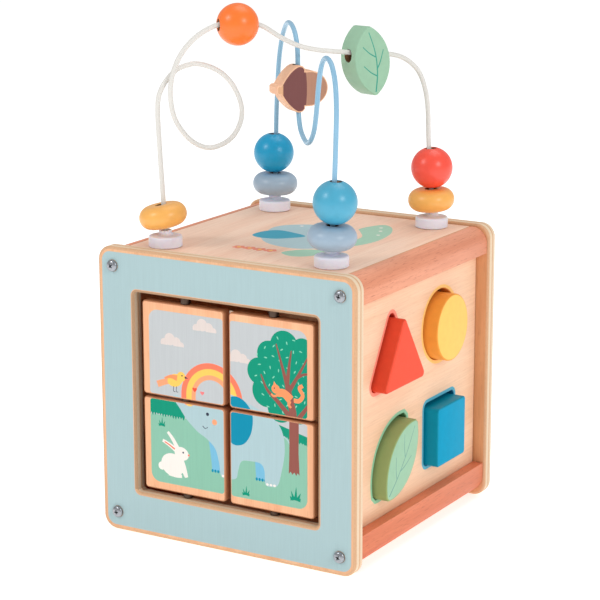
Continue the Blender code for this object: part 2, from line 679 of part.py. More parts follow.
def add_acorn_bead():
    """A flat acorn, threaded through its cap on an upright stretch of wire."""
    facing = Vector((math.sin(ACORN_FACING), -math.cos(ACORN_FACING), 0))
    right = Vector((0, 0, 1)).cross(facing)
    wire_here = leg_frame(BLUE_FOOT, BLUE_ROUTE[14], BLUE_ROUTE[12], ACORN_Z)
    place = wire_here.translation - right * ACORN_HANG
    bead = add_piece("acorn_bead", extrusion(acorn_outline(), -ACORN_T / 2, ACORN_T / 2),
                     "brown", frame_at(place, right, facing))
    round_edges(bead, 0.7 * MM, 1)
    wire_here.translation = place
    cut(bead, cylinder(ACORN_BORE_R, -ACORN_CAP, ACORN_CAP, 16), wire_here)


def build():
    for old in list(bpy.data.objects):
        bpy.data.objects.remove(old)
    add_front_panel()
    add_end_panel("back_panel", 1, "panel_blue")
    for side, hand in ((-1, "left"), (1, "right")):
        add_rail(f"upper_rail_{hand}", side, True)
        add_rail(f"lower_rail_{hand}", side, False)
    add_thin_panels()
    add_screws()
    add_picture_blocks()
    add_sorter_shapes()
    add_feet()
    add_wire("white_wire", WHITE_FOOT, WHITE_ROUTE, "white_paint")
    add_wire("blue_wire", BLUE_FOOT, BLUE_ROUTE, "blue_paint")
    add_leg_beads()
    add_orange_ball()
    add_leaf_bead()
    add_acorn_bead()


build()
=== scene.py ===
"""The looks of the wooden activity cube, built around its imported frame.

Lengths are in millimetres until a piece is finished, then in metres. The cube's picture
blocks look along -Y, the shape sorter looks along +X, and the bead maze is on the top.
"""

import json
import math

import bmesh
import bpy
from mathutils import Matrix, Vector, geometry


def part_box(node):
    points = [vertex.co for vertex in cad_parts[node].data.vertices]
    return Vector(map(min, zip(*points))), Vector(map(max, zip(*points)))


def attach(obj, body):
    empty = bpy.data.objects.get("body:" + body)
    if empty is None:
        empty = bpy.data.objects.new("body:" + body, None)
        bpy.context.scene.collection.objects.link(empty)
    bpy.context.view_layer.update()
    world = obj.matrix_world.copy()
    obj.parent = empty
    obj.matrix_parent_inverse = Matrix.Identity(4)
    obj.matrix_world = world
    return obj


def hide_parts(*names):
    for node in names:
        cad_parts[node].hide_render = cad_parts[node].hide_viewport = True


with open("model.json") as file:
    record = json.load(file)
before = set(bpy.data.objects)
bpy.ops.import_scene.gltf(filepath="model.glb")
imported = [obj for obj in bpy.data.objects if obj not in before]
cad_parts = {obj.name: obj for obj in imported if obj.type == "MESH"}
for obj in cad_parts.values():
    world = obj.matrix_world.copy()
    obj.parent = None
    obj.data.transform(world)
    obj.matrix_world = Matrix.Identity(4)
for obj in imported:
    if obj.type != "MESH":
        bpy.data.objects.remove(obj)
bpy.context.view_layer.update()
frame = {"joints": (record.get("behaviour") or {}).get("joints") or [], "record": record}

MM = 0.001
BODY_OF = {node: body for body, nodes in frame["record"]["behaviour"]["bodies"].items()
           for node in nodes}
JOINT_OF = {joint["child"]: joint for joint in frame["joints"]}

# Plates
END_T = 8
SIDE_T = 6
LEVEL_T = 5  # top and bottom
TOP_FACE_Z = 158.4
BOTTOM_FACE_Z = 3
END_CORNER_R = 8
END_EDGE_R = 1.5
BLUE_INSET = 2.8  # bare margin round the blue print
SIDE_EDGE_R = 0.4
SIDE_X = 72  # outer face of the side panels
WINDOW_HALF_X = 57
WINDOW_LOW = 24.2
WINDOW_HIGH = 136.4
WINDOW_R = 2
HATCH_HALF_Y = 47
HATCH_LOW = 54
HATCH_HIGH = 102
HATCH_R = 22

# Rails, right-hand side
RAIL_IN = 60
RAIL_OUT = 78.6
RAIL_CROWN_R = 9
SKIN_HALF_X = 68.3
SIDE_FACE_X = 72.3
TOP_RAIL = (144, 158.4)
LOW_RAIL = (3, 20.4)
RABBET = 2
SHELF = 5.3

# Screws
SCREW_X = 70.3
SCREW_HEIGHTS = {"lower": 10.5, "upper": 149.5}
SCREW_HEAD_R = 3.2
SCREW_SEAT = 80.2
SCREW_HEAD_H = 2.0
SCREW_LENGTH = 20
SCREW_BORE_R = 1.85

# Picture blocks
BLOCK = 52
BLOCK_T = 6.4
BLOCK_X = 27.5
AXLE_Y = -74
AXLE_R = 1.2
BLOCK_BORE_R = 1.7
SPACER_R = 2.7
SPACER_BORE_R = 1.5
BLOCK_Z = {"upper": 106.3, "lower": 52.9}
BLOCK_EDGE_R = 0.7
PRINT_SIDE = 4.2  # bare wood left and right of the whole picture
PRINT_TOP = 4.5   # bare wood above and below it

# Shape sorter, in (y, z) as seen from +X
SHAPE_L = 22
SHAPE_FACE_X = 80
HOLE_SLACK = 1.2
HOLE_RISE = 0.9
HOLE_LINE = 2.2  # width of the painted line round each hole
TRIANGLE_AT = (-27.0, 91.4)
TRIANGLE_W = 47
TRIANGLE_H = 38.5
TRIANGLE_TIP = -1.5
DISC_AT = (27.6, 110.9)
DISC_R = 18.6
LEAF_AT = (-29.2, 50.6)
LEAF_L = 50
LEAF_W = 27.6
LEAF_TILT = 48
SQUARE_AT = (28.1, 51.2)
SQUARE = 33.4

# Bead maze
WIRE_R = 1.35
WHITE_FOOT = (50, 59)
BLUE_FOOT = (52, -57)
FOOT_R = 9.1
NECK_R = 3.5
FOOT_BORE_R = 1.7
NUT_R = 5
BEAD_BORE_R = 3.2
BALL_R = 11.6
DISC_BEAD_R = 13.0
DISC_BEAD_H = 12.4
LONE_DISC_LEAN = -8.5  # degrees, as in the frame
LEAN_ABOUT = (-0.505, 0.85, 0)
LEAF_BEAD_ALONG = 37.2
LEAF_BEAD_Z = 256.0
LEAF_BEAD_DRILL_UP = 2.1
LEAF_BEAD_L = 38.4
LEAF_BEAD_W = 22.2
LEAF_BEAD_T = 15.6
LEAF_BEAD_TILT = 11
LEAF_BEAD_BORE_R = 3.6
LEAF_BEAD_SLOPE = -0.092
LEAF_BEAD_TURNS = ((-3.7, "X"), (11.5, "Y"), (1, "Z"))
ACORN_BORE_R = 2.4
ACORN_T = 11
ACORN_CAP = 25.6
ACORN_NUT = 19.4
ACORN_FACING = 55

# Wire routes: along the diagonal from foot to foot, height, sideways
WHITE_ROUTE = [
    (-77.3, 149, 0), (-77.4, 168, 0), (-78.4, 190, -0.6), (-79.4, 212, -1.2),
    (-79.9, 234, -1.9), (-77.4, 243.6, -2.2), (-71.3, 251.4, -2.2), (-65, 254.8, -2.2),
    (-57, 255.7, -2), (-46.2, 251.6, -1.6), (-38.6, 244, -1.2), (-33.9, 233, -0.6),
    (-34.6, 223.4, 0), (-40.8, 214.6, 0.5), (-52, 210.8, 1), (-62.4, 215.2, 1.5),
    (-70.6, 225.4, 2), (-73.7, 236.4, 2.4), (-73.2, 248.8, 2.5), (-68.4, 260.8, 2.4),
    (-59.7, 270.3, 2.4), (-48.4, 276.2, 2.4), (-35.8, 278, 2.4), (-23.2, 275.2, 2.4),
    (-12.9, 268.9, 2.4), (-3, 264, 2.3), (8.4, 261, 2.2), (25, 259, 1.9), (38, 257.8, 0),
    (51, 256.6, -1.9), (61.3, 253.4, -2.3), (69, 246.4, -2), (73, 236.3, -1.4),
    (74.6, 224.3, -0.7), (75, 206, 0), (77, 180, 0), (77.3, 168, 0), (77.3, 149, 0),
]
BLUE_ROUTE = [
    (-77.2, 149, 0), (-77.2, 168, 0.2), (-77.2, 190, 0.8), (-77, 212, 1.1), (-76, 230, 1.6),
    (-73, 246, 2), (-66.5, 258, 2.2), (-56, 266.5, 2), (-44, 271, 1.5), (-31, 271.3, 1),
    (-19.5, 268, 0.6), (-11.4, 261.5, 0.2), (-9, 254, 0), (-8, 240, 0), (-7, 226, 0),
    (-2.4, 218, 0), (7, 214, 0), (17, 213, 0), (26, 216.2, 0), (33.2, 223.2, 0.3),
    (38.6, 234.5, 0.4), (43.4, 248.5, 0.5), (50, 259, 0.6), (59.5, 263.8, 0.8),
    (70, 261.8, 1.3), (77.5, 253.6, 1.6), (80.2, 241, 1.7), (80, 225, 1.5),
    (79.2, 206, 1.1), (77.6, 180, 0.4), (77.2, 168, 0), (77.2, 149, 0),
]

# Colours, as sRGB from 0 to 255
INK = {
    "panel": (172, 197, 200), "sky": (195, 199, 201),
    "meadow": (141, 194, 170), "bush": (7, 149, 119), "cloud": (225, 212, 206),
    "coral": (255, 128, 98), "gold": (255, 204, 98), "peach": (250, 166, 122),
    "elephant": (176, 202, 207), "shade": (122, 188, 218), "ear": (0, 142, 174),
    "white": (246, 238, 230), "bark": (150, 88, 78), "rust": (255, 152, 100),
    "dark": (56, 60, 76), "fleck": (136, 214, 184), "pink": (246, 132, 132),
    "vein": (70, 160, 140), "cap": (128, 82, 80), "nut": (187, 139, 116),
    "red": (252, 86, 61), "yellow": (255, 205, 110), "green": (159, 200, 170),
    "teal": (0, 156, 196),
}


# Materials

def linear(colour):
    """A 0 to 255 sRGB colour as linear RGBA."""
    return (*((c / 255 / 12.92) if c < 10.3 else ((c / 255 + 0.055) / 1.055) ** 2.4
              for c in colour), 1)


def add_node(tree, kind, inputs=(), **settings):
    """A shader node; its inputs are values, or sockets to link from."""
    made = tree.nodes.new(kind)
    for key, value in settings.items():
        setattr(made, key, value)
    for key, value in dict(inputs).items():
        if isinstance(value, bpy.types.NodeSocket):
            tree.links.new(value, made.inputs[key])
        else:
            made.inputs[key].default_value = value
    return made


def new_material(name, roughness, metallic=0.0, coat=0.0, specular=0.5):
    made = bpy.data.materials.new(name)
    made.use_nodes = True
    tree = made.node_tree
    shader = tree.nodes["Principled BSDF"]
    shader.inputs["Roughness"].default_value = roughness
    shader.inputs["Metallic"].default_value = metallic
    shader.inputs["Coat Weight"].default_value = coat
    shader.inputs["Coat Roughness"].default_value = 0.12
    shader.inputs["Specular IOR Level"].default_value = specular
    return made, tree, shader


def stretched(tree, along, across_scale, along_scale):
    """Object coordinates, stretched along the grain."""
    coords = add_node(tree, "ShaderNodeTexCoord")
    scale = [across_scale] * 3
    scale["XYZ".index(along)] = along_scale
    return add_node(tree, "ShaderNodeMapping", {"Vector": coords.outputs["Object"],
                                                "Scale": scale}).outputs["Vector"]


def noise(tree, vector, detail=3.0, roughness=0.5, distortion=0.0):
    return add_node(tree, "ShaderNodeTexNoise", {
        "Vector": vector, "Scale": 1.0, "Detail": detail, "Roughness": roughness,
        "Distortion": distortion}).outputs["Fac"]


def ramp(tree, value, stops):
    """A colour ramp; stops are (place, RGBA)."""
    made = add_node(tree, "ShaderNodeValToRGB", {"Fac": value})
    elements = made.color_ramp.elements
    while len(elements) < len(stops):
        elements.new(0.5)
    for element, (place, colour) in zip(elements, stops):
        element.position = place
        element.color = colour
    return made.outputs["Color"]


def greys(tree, value, low, high):
    """A ramp between two greys, to multiply a colour by."""
    return ramp(tree, value, [(0.3, (low, low, low, 1)), (0.7, (high, high, high, 1))])


def mix(tree, factor, first, second, blend="MIX"):
    made = add_node(tree, "ShaderNodeMix", data_type="RGBA", blend_type=blend)
    for socket, value in zip((made.inputs[0], made.inputs[6], made.inputs[7]),
                             (factor, first, second)):
        if isinstance(value, bpy.types.NodeSocket):
            tree.links.new(value, socket)
        else:
            socket.default_value = value
    return made.outputs[2]


def add_bump(tree, shader, height, strength, distance=0.0002):
    bump = add_node(tree, "ShaderNodeBump",
                    {"Height": height, "Strength": strength, "Distance": distance})
    tree.links.new(bump.outputs["Normal"], shader.inputs["Normal"])


def wood(name, light, dark, along, pore=(0.0, (180, 110, 80)), figure=90, roughness=0.5):
    """Lacquered bare wood: broad figure, fine fibres and short dark pores along the grain."""
    made, tree, shader = new_material(name, roughness, specular=0.25)
    figure_fac = noise(tree, stretched(tree, along, figure, figure * 0.07), 4.0, 0.55, 0.6)
    fibre = noise(tree, stretched(tree, along, 1400, 35), 2.0)
    colour = ramp(tree, figure_fac, [(0.3, linear(dark)), (0.62, linear(light))])
    fibres = ramp(tree, fibre, [(0.3, (0.94, 0.92, 0.9, 1)), (0.7, (1.03, 1.03, 1.03, 1))])
    colour = mix(tree, 1.0, colour, fibres, "MULTIPLY")
    share, pore_colour = pore
    if share:
        spots = noise(tree, stretched(tree, along, 2600, 160), 1.0)
        mask = ramp(tree, spots, [(0.62, (0, 0, 0, 1)), (0.7, (share, share, share, 1))])
        colour = mix(tree, mask, colour, linear(pore_colour))
    tree.links.new(colour, shader.inputs["Base Color"])
    add_bump(tree, shader, fibre, 0.12)
    return made


def ply_edge(name, axis, start, thickness, shade=0.86):
    """Plies seen from the edge: layers across the thickness, with end-grain specks; shade scales their
    colours, and the window walls' low shade is painted shade.
    """
    made, tree, shader = new_material(name, 0.6)
    coords = add_node(tree, "ShaderNodeTexCoord").outputs["Object"]
    place = add_node(tree, "ShaderNodeSeparateXYZ", {"Vector": coords}).outputs[axis]
    depth = add_node(tree, "ShaderNodeMapRange", {
        "Value": place, "From Min": start * MM, "From Max": (start + thickness) * MM}).outputs["Result"]
    cream, tan = (tuple(c * shade for c in linear(colour)[:3]) + (1,)
                  for colour in ((250, 226, 194), (232, 184, 142)))
    layers = [(0.0, tan), (0.1, tan), (0.16, cream), (0.4, cream), (0.46, tan), (0.56, tan),
              (0.62, cream), (0.86, cream), (0.92, tan)]
    specks = noise(tree, stretched(tree, axis, 900, 2600), 2.0)
    colour = mix(tree, 1.0, ramp(tree, depth, layers),
                 ramp(tree, specks, [(0.3, (0.93, 0.9, 0.87, 1)), (0.65, (1.02, 1.02, 1.02, 1))]),
                 "MULTIPLY")
    tree.links.new(colour, shader.inputs["Base Color"])
    add_bump(tree, shader, specks, 0.15)
    return made


def speckled(name, colour, roughness, along, scales, tones, depth, detail=2.0, **finish):
    """A colour with a faint pattern of lighter and darker tones, and the same bump."""
    made, tree, shader = new_material(name, roughness, **finish)
    pattern = noise(tree, stretched(tree, along, *scales), detail)
    tone = greys(tree, pattern, *tones)
    tree.links.new(mix(tree, 1.0, linear(colour), tone, "MULTIPLY"), shader.inputs["Base Color"])
    add_bump(tree, shader, pattern, depth)
    return made


def printed(name, colour, along="Z"):
    """Ink on plywood: the grain shows faintly through it."""
    return speckled(name, colour, 0.5, along, (1500, 45), (0.97, 1.025), 0.08, 3.0, specular=0.12)


def painted(name, colour, gloss=0.26, coat=0.0, scale=260, depth=0.05, specular=0.3):
    """Sprayed paint on a turned or sawn piece, with the faintest orange peel."""
    return speckled(name, colour, gloss, "Z", (scale, scale), (0.965, 1.02), depth,
                    coat=coat, specular=specular)


def metal(name, colour, roughness):
    """Zinc-plated steel with fine drawing marks."""
    return speckled(name, colour, roughness, "Z", (3000, 120), (0.85, 1), 0.1, metallic=1.0)


def plastic(name, colour):
    """Moulded plastic with a fine satin texture and a little light inside it."""
    made = speckled(name, colour, 0.38, "Z", (1800, 1800), (0.98, 1), 0.05)
    shader = made.node_tree.nodes["Principled BSDF"]
    shader.inputs["Subsurface Weight"].default_value = 0.15
    shader.inputs["Subsurface Scale"].default_value = 0.002
    return made


INKS = {name: printed("ink_" + name, colour) for name, colour in INK.items()}
PLY_Y = wood("ply_along_y", (250, 212, 180), (243, 198, 162), "Y", (0.25, (214, 160, 120)))
PLY_Z = wood("ply_along_z", (240, 190, 150), (226, 168, 126), "Z", (0.25, (196, 134, 96)))
PLY_TOP = wood("ply_top", (250, 217, 194), (244, 202, 176), "Y", (0.25, (214, 160, 128)))
PLY_BLOCK = wood("ply_block", (252, 194, 152), (242, 176, 134), "Z", (0.25, (206, 140, 102)))
# the inner faces of the panels: plywood darkened as painted shade
PLY_INSIDE_SHADED = wood("ply_inside_shaded", (222, 166, 120), (206, 146, 102), "Z", (0.3, (170, 110, 76)))
BEECH = wood("beech", (240, 168, 136), (222, 142, 110), "Y", (0.55, (188, 108, 82)), 60)
# the lower rails' beech, darker and redder than the upper rails': painted shade
BEECH_LOW_SHADED = wood("beech_low_shaded", (227, 135, 99), (209, 114, 81), "Y", (0.55, (180, 96, 70)), 60)
BARE_EDGE = wood("bare_edge", (196, 134, 96), (176, 114, 78), "Z", (0.3, (170, 110, 76)), 140)
# bare wood inside the bead bores, darkened as painted shade
SHADED_BORE = wood("drilled_wood_shaded", (150, 112, 80), (118, 84, 58), "Z", (0.3, (84, 58, 40)), 300)
ZINC = metal("zinc", (168, 171, 177), 0.3)
# the screws' cross recess: zinc darkened as painted shade
SHADED_RECESS = metal("recess", (72, 74, 80), 0.45)
# the spacer rings darkened as painted shade: they sit in the shadow of the window's edges
SHADED_SPACER = metal("spacer", (96, 80, 70), 0.5)
WHITE_PLASTIC = plastic("white_plastic", (238, 239, 253))


# Outlines, as lists of (u, v)

def arc(u, v, radius, start, end, steps):
    """Points on an arc, angles in degrees, both ends included."""
    angles = [math.radians(start + (end - start) * i / steps) for i in range(steps + 1)]
    return [(u + radius * math.cos(a), v + radius * math.sin(a)) for a in angles]


def disc(u, v, radius, steps=24):
    return arc(u, v, radius, 0, 360 * (steps - 1) / steps, steps - 1)


def ellipse(u, v, a, b, tilt=0.0, steps=28):
    return moved([(a * p, b * q) for p, q in disc(0, 0, 1, steps)], u, v, tilt)


def rounded(corners, radius, steps=8):
    """A polygon with rounded corners, anticlockwise; radius may be one per corner."""
    radii = radius if isinstance(radius, (list, tuple)) else [radius] * len(corners)
    outline = []
    for i, corner in enumerate(corners):
        here = Vector(corner)
        back = (Vector(corners[i - 1]) - here).normalized()
        ahead = (Vector(corners[(i + 1) % len(corners)]) - here).normalized()
        half_angle = back.angle(ahead) / 2
        centre = here + (back + ahead).normalized() * (radii[i] / math.sin(half_angle))
        first = here + back * (radii[i] / math.tan(half_angle)) - centre
        sweep = math.pi - 2 * half_angle
        for step in range(steps + 1):
            spoke = first.copy()
            spoke.rotate(Matrix.Rotation(sweep * step / steps, 2))
            outline.append(tuple(centre + spoke))
    return outline


def rectangle(u0, v0, u1, v1, radius, steps=8):
    return rounded([(u0, v0), (u1, v0), (u1, v1), (u0, v1)], radius, steps)


def lens(length, width, steps=24, blunt=0.055):
    """A leaf: two arcs that meet in slightly blunt tips on the u axis."""
    a, b = length / 2, width / 2
    radius = (a * a + b * b) / (2 * b)
    reach = math.degrees(math.asin(a / radius)) * (1 - blunt)
    lower = arc(0, radius - b, radius, -90 - reach, -90 + reach, steps)
    upper = arc(0, b - radius, radius, 90 - reach, 90 + reach, steps)
    return lower + upper


def moved(outline, u, v, degrees=0.0):
    c, s = math.cos(math.radians(degrees)), math.sin(math.radians(degrees))
    return [(u + c * p - s * q, v + s * p + c * q) for p, q in outline]


def grown(outline, amount):
    """The outline moved outwards by an amount; it runs anticlockwise."""
    result = []
    for i, point in enumerate(outline):
        here = Vector(point)
        before = (here - Vector(outline[i - 1])).normalized()
        after = (Vector(outline[(i + 1) % len(outline)]) - here).normalized()
        n0 = Vector((before.y, -before.x))
        mitre = (n0 + Vector((after.y, -after.x))).normalized()
        result.append(tuple(here + mitre * (amount / max(mitre.dot(n0), 0.5))))
    return result


def smooth(points, closed=True, steps=5):
    """A Catmull-Rom curve through the given points, of any dimension."""
    points = [Vector(p) for p in points]
    if closed:
        padded = [points[-1], *points, points[0], points[1]]
    else:
        padded = [points[0] * 2 - points[1], *points, points[-1] * 2 - points[-2]]
    fine = []
    for p0, p1, p2, p3 in zip(padded, padded[1:], padded[2:], padded[3:]):
        for i in range(steps):
            t = i / steps
            fine.append(0.5 * (2 * p1 + (p2 - p0) * t + (2 * p0 - 5 * p1 + 4 * p2 - p3) * t * t
                               + (3 * p1 - p0 - 3 * p2 + p3) * t ** 3))
    return fine if closed else fine + [points[-1]]


def limb(points, start_width, end_width=None, steps=5):
    """A tapered stroke along a smooth curve, with round-ish ends."""
    end_width = start_width if end_width is None else end_width
    path = smooth(points, closed=False, steps=steps)
    left, right = [], []
    for i, here in enumerate(path):
        t = i / (len(path) - 1)
        ahead = (path[min(i + 1, len(path) - 1)] - path[max(i - 1, 0)]).normalized()
        side = Vector((-ahead.y, ahead.x)) * (start_width + (end_width - start_width) * t) / 2
        left.append(tuple(here + side))
        right.append(tuple(here - side))
    return right + left[::-1]


def clipped(outline, window):
    """The part of an outline inside a convex, anticlockwise window."""
    for i, start in enumerate(window):
        a = Vector(start)
        edge = Vector(window[(i + 1) % len(window)]) - a
        if edge.length < 1e-6:
            continue
        inward = Vector((-edge.y, edge.x)).normalized()
        kept = []
        for j, point in enumerate(outline):
            here, last = Vector(point), Vector(outline[j - 1])
            d_here, d_last = (here - a).dot(inward), (last - a).dot(inward)
            if (d_here >= 0) != (d_last >= 0):
                kept.append(tuple(last.lerp(here, d_last / (d_last - d_here))))
            if d_here >= 0:
                kept.append(tuple(here))
        outline = kept
        if len(outline) < 3:
            return []
    return outline


def area(outline):
    return sum(outline[i - 1][0] * p[1] - p[0] * outline[i - 1][1]
               for i, p in enumerate(outline)) / 2


# Solids

def ring_of(bm, outline, w):
    return [bm.verts.new((u, v, w)) for u, v in outline]


def bridge(bm, one, other, material):
    for i in range(len(one)):
        j = (i + 1) % len(one)
        face = bm.faces.new((one[i], one[j], other[j], other[i]))
        face.material_index = material
        face.smooth = True


def cap(bm, rings, w, prints, base):
    """Fill the flat face between an outer ring and its holes, cut along the prints.

    A print is (outline, material number); later prints cover earlier ones."""
    own = [vert for ring in rings for vert in ring]
    points = [Vector(vert.co.xy) for vert in own]
    loops, start = [], 0
    for ring in rings:
        loops.append(list(range(start, start + len(ring))))
        start += len(ring)
    for outline, _ in prints:
        loops.append(list(range(start, start + len(outline))))
        points += [Vector(p) for p in outline]
        start += len(outline)
    loops = [loop if area([points[i] for i in loop]) > 0 else loop[::-1] for loop in loops]
    flat, _, triangles, sources, _, covers = geometry.delaunay_2d_cdt(points, [], loops, 0, 3e-3)
    verts = []
    for place, ids in zip(flat, sources):
        known = [i for i in ids if i < len(own)]
        verts.append(own[known[0]] if known else bm.verts.new((*place, w)))
    for triangle, inside in zip(triangles, covers):
        if 0 not in inside or any(1 <= i < len(rings) for i in inside):
            continue
        top = max(inside)
        face = bm.faces.new([verts[i] for i in triangle])
        face.material_index = prints[top - len(rings)][1] if top >= len(rings) else base
    for vert in verts:
        if not vert.link_faces:
            bm.verts.remove(vert)


def plate(outline, thickness, edge, holes=(), prints=(), back_prints=(), steps=4, walls=()):
    """A slab with rounded edges: its face at w = 0, its back at w = -thickness.

    Material 0 is the face, 1 the edge, 2 the back; walls are those of the holes' insides."""
    bm = bmesh.new()
    fronts, backs = [], []
    quarter = [math.radians(90 * i / steps) for i in range(steps + 1)]
    rounding = [(1 - math.sin(a), 1 - math.cos(a)) for a in quarter]
    levels = [(r * edge, -d * edge) for r, d in rounding]
    levels += [(r * edge, d * edge - thickness) for r, d in reversed(rounding)]
    loops = [(outline, -1)] + [(hole, 1) for hole in holes]
    for number, (loop, sign) in enumerate(loops):
        rings = [ring_of(bm, grown(loop, sign * inset), w) for inset, w in levels]
        material = walls[number - 1] if number and walls else 1
        for one, other in zip(rings, rings[1:]):
            bridge(bm, one, other, material)
        fronts.append(rings[0])
        backs.append(rings[-1])
    cap(bm, fronts, 0, prints, 0)
    cap(bm, backs, -thickness, back_prints, 2)
    return bm


def turned(profile, segments=64, bands=()):
    """A solid of revolution about w; bands gives a material number for each profile step."""
    bm = bmesh.new()
    rings = []
    for radius, height in profile:
        if radius == 0:
            rings.append([bm.verts.new((0, 0, height))])
        else:
            rings.append([bm.verts.new((radius * math.cos(a), radius * math.sin(a), height))
                          for a in (math.tau * i / segments for i in range(segments))])
    closed = profile[0][0] > 0 and profile[-1][0] > 0
    for k in range(len(rings) if closed else len(rings) - 1):
        low, high = rings[k], rings[(k + 1) % len(rings)]
        for i in range(segments):
            j = (i + 1) % segments
            corners = [low[i % len(low)], low[j % len(low)],
                       high[j % len(high)], high[i % len(high)]]
            face = bm.faces.new(list(dict.fromkeys(corners)))
            face.smooth = True
            face.material_index = bands[k] if k < len(bands) else 0
    return bm


def rod(radius, low, high, material=0, segments=40):
    bm = turned([(0, low), (radius, low), (radius, high), (0, high)], segments)
    for face in bm.faces:
        face.material_index = material
    return bm


def mesh_of(bm, name, materials):
    bmesh.ops.recalc_face_normals(bm, faces=bm.faces)
    mesh = bpy.data.meshes.new(name)
    bm.to_mesh(mesh)
    bm.free()
    for material in materials:
        mesh.materials.append(material)
    return mesh


def drilled(bm, cutters, materials):
    """The solid with other closed solids cut out of it."""
    body = bpy.data.objects.new("body", mesh_of(bm, "body", materials))
    bpy.context.collection.objects.link(body)
    helpers = [body]
    for cutter in cutters:
        tool = bpy.data.objects.new("tool", mesh_of(cutter, "tool", materials))
        bpy.context.collection.objects.link(tool)
        helpers.append(tool)
        boolean = body.modifiers.new("drill", "BOOLEAN")
        boolean.operation = "DIFFERENCE"
        boolean.solver = "EXACT"
        boolean.object = tool
    result = bmesh.new()
    result.from_object(body, bpy.context.evaluated_depsgraph_get())
    slivers = [face for face in result.faces
               if face.calc_area() < 1e-5 and any(edge.is_boundary for edge in face.edges)]
    bmesh.ops.delete(result, geom=slivers, context="FACES")
    for helper in helpers:
        bpy.data.objects.remove(helper)
    return result


def show(node, bm, materials, place=None, sharp=40):
    """Finish a piece that stands for a CAD node: metres, materials and body."""
    bm.transform(Matrix.Scale(MM, 4) @ (place or Matrix.Identity(4)))
    mesh = mesh_of(bm, node, materials)
    mesh.set_sharp_from_angle(angle=math.radians(sharp))
    piece = bpy.data.objects.new(f"{node}.fine", mesh)
    bpy.context.collection.objects.link(piece)
    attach(piece, BODY_OF[node])
    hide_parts(node)
    return piece


def facing(x_axis, y_axis, origin=(0, 0, 0)):
    """A placement from its first two axes and its origin."""
    x, y = Vector(x_axis).normalized(), Vector(y_axis).normalized()
    turn = Matrix((x, y, x.cross(y))).transposed()
    return Matrix.Translation(origin) @ turn.to_4x4()


def towards(z_axis, origin, near_x=(1, 0, 0)):
    """A placement with its third axis as given and its first close to near_x."""
    z = Vector(z_axis).normalized()
    y = z.cross(Vector(near_x)).normalized()
    return facing(y.cross(z), y, origin)


def middle(node):
    low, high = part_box(node)
    return (low + high) / 2 / MM


FRONT = ((1, 0, 0), (0, 0, 1))   # u, v of a face that looks along -Y
BACK = ((-1, 0, 0), (0, 0, 1))
RIGHT = ((0, 1, 0), (0, 0, 1))
LEFT = ((0, -1, 0), (0, 0, 1))
UP = ((1, 0, 0), (0, 1, 0))
DOWN = ((1, 0, 0), (0, -1, 0))


# Cube

def make_end_panels():
    """Front and back panel: blue print with a bare margin, plies along the edge, and painted shade on the
    window's walls except the sill.
    """
    outline = rectangle(-80, 0, 80, 160, END_CORNER_R, 14)
    window = rectangle(-WINDOW_HALF_X, WINDOW_LOW, WINDOW_HALF_X, WINDOW_HIGH, WINDOW_R, 6)
    bores = [disc(x, z, SCREW_BORE_R) for x in (-SCREW_X, SCREW_X) for z in SCREW_HEIGHTS.values()]
    blue = [(rectangle(-80 + BLUE_INSET, BLUE_INSET, 80 - BLUE_INSET, 160 - BLUE_INSET,
                       END_CORNER_R - BLUE_INSET, 10), 3)]
    rim = [(grown(window, END_EDGE_R + 0.35), 0)]
    for node, axes, y, holes, prints in (
            ("front_panel", FRONT, -80, bores + [window], blue + rim),
            ("back_panel", BACK, 80, bores, blue)):
        first_ply = min(y, y - END_T * y / abs(y))
        edge = ply_edge(f"{node}_plies", "Y", first_ply, END_T)
        # the window's walls take the plies darkened to 0.56: painted shade
        shaded = ply_edge(f"{node}_window", "Y", y, END_T, 0.56)
        slab = plate(outline, END_T, END_EDGE_R, holes, prints, walls=(1, 1, 1, 1, 4))
        for face in slab.faces:
            if face.material_index == 4 and face.calc_center_median().y < WINDOW_LOW + 1:
                face.material_index = 1  # the sill keeps the outer edge's plies, without the painted shade of the other window walls
        show(node, slab, [PLY_Z, edge, PLY_INSIDE_SHADED, INKS["panel"], shaded],
             facing(*axes, (0, y, 0)))


def rail_section(low, high, top):
    """Section of a right-hand rail in (x, z): a round corner and two rabbets."""
    crown = arc(RAIL_OUT - RAIL_CROWN_R, high - RAIL_CROWN_R, RAIL_CROWN_R, 0, 90, 16)
    section = [(RAIL_IN, low + RABBET), (SIDE_FACE_X, low + RABBET), (SIDE_FACE_X, low),
               (RAIL_OUT, low), *crown, (SKIN_HALF_X, high), (SKIN_HALF_X, high - SHELF),
               (RAIL_IN, high - SHELF)]
    if top:
        return section
    return [(u, low + high - v) for u, v in reversed(section)]


def make_rails():
    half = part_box("upper_rail_right")[1].y / MM
    for level, (low, high) in (("upper", TOP_RAIL), ("lower", LOW_RAIL)):
        section = rail_section(low, high, level == "upper")
        # the lower rails take the darker beech: painted shade
        beech = BEECH if level == "upper" else BEECH_LOW_SHADED
        show(f"{level}_rail_right", plate(section, 2 * half, 0.25, steps=2), [beech] * 3,
             facing(*FRONT, (0, -half, 0)))
        show(f"{level}_rail_left", plate(section, 2 * half, 0.25, steps=2), [beech] * 3,
             facing(*BACK, (0, half, 0)))


def hole_outlines():
    """The four shapes in (y, z), anticlockwise as seen from +X."""
    y, z = TRIANGLE_AT
    corners = [(y - TRIANGLE_W / 2, z), (y + TRIANGLE_W / 2, z), (y + TRIANGLE_TIP, z + TRIANGLE_H)]
    half = SQUARE / 2
    return {
        "triangle": rounded(corners, 2.4, 8),
        "disc": disc(*DISC_AT, DISC_R, 72),
        "leaf": moved(lens(LEAF_L, LEAF_W), *LEAF_AT, LEAF_TILT),
        "square": moved(rectangle(-half, -half, half, half, 2), *SQUARE_AT),
    }


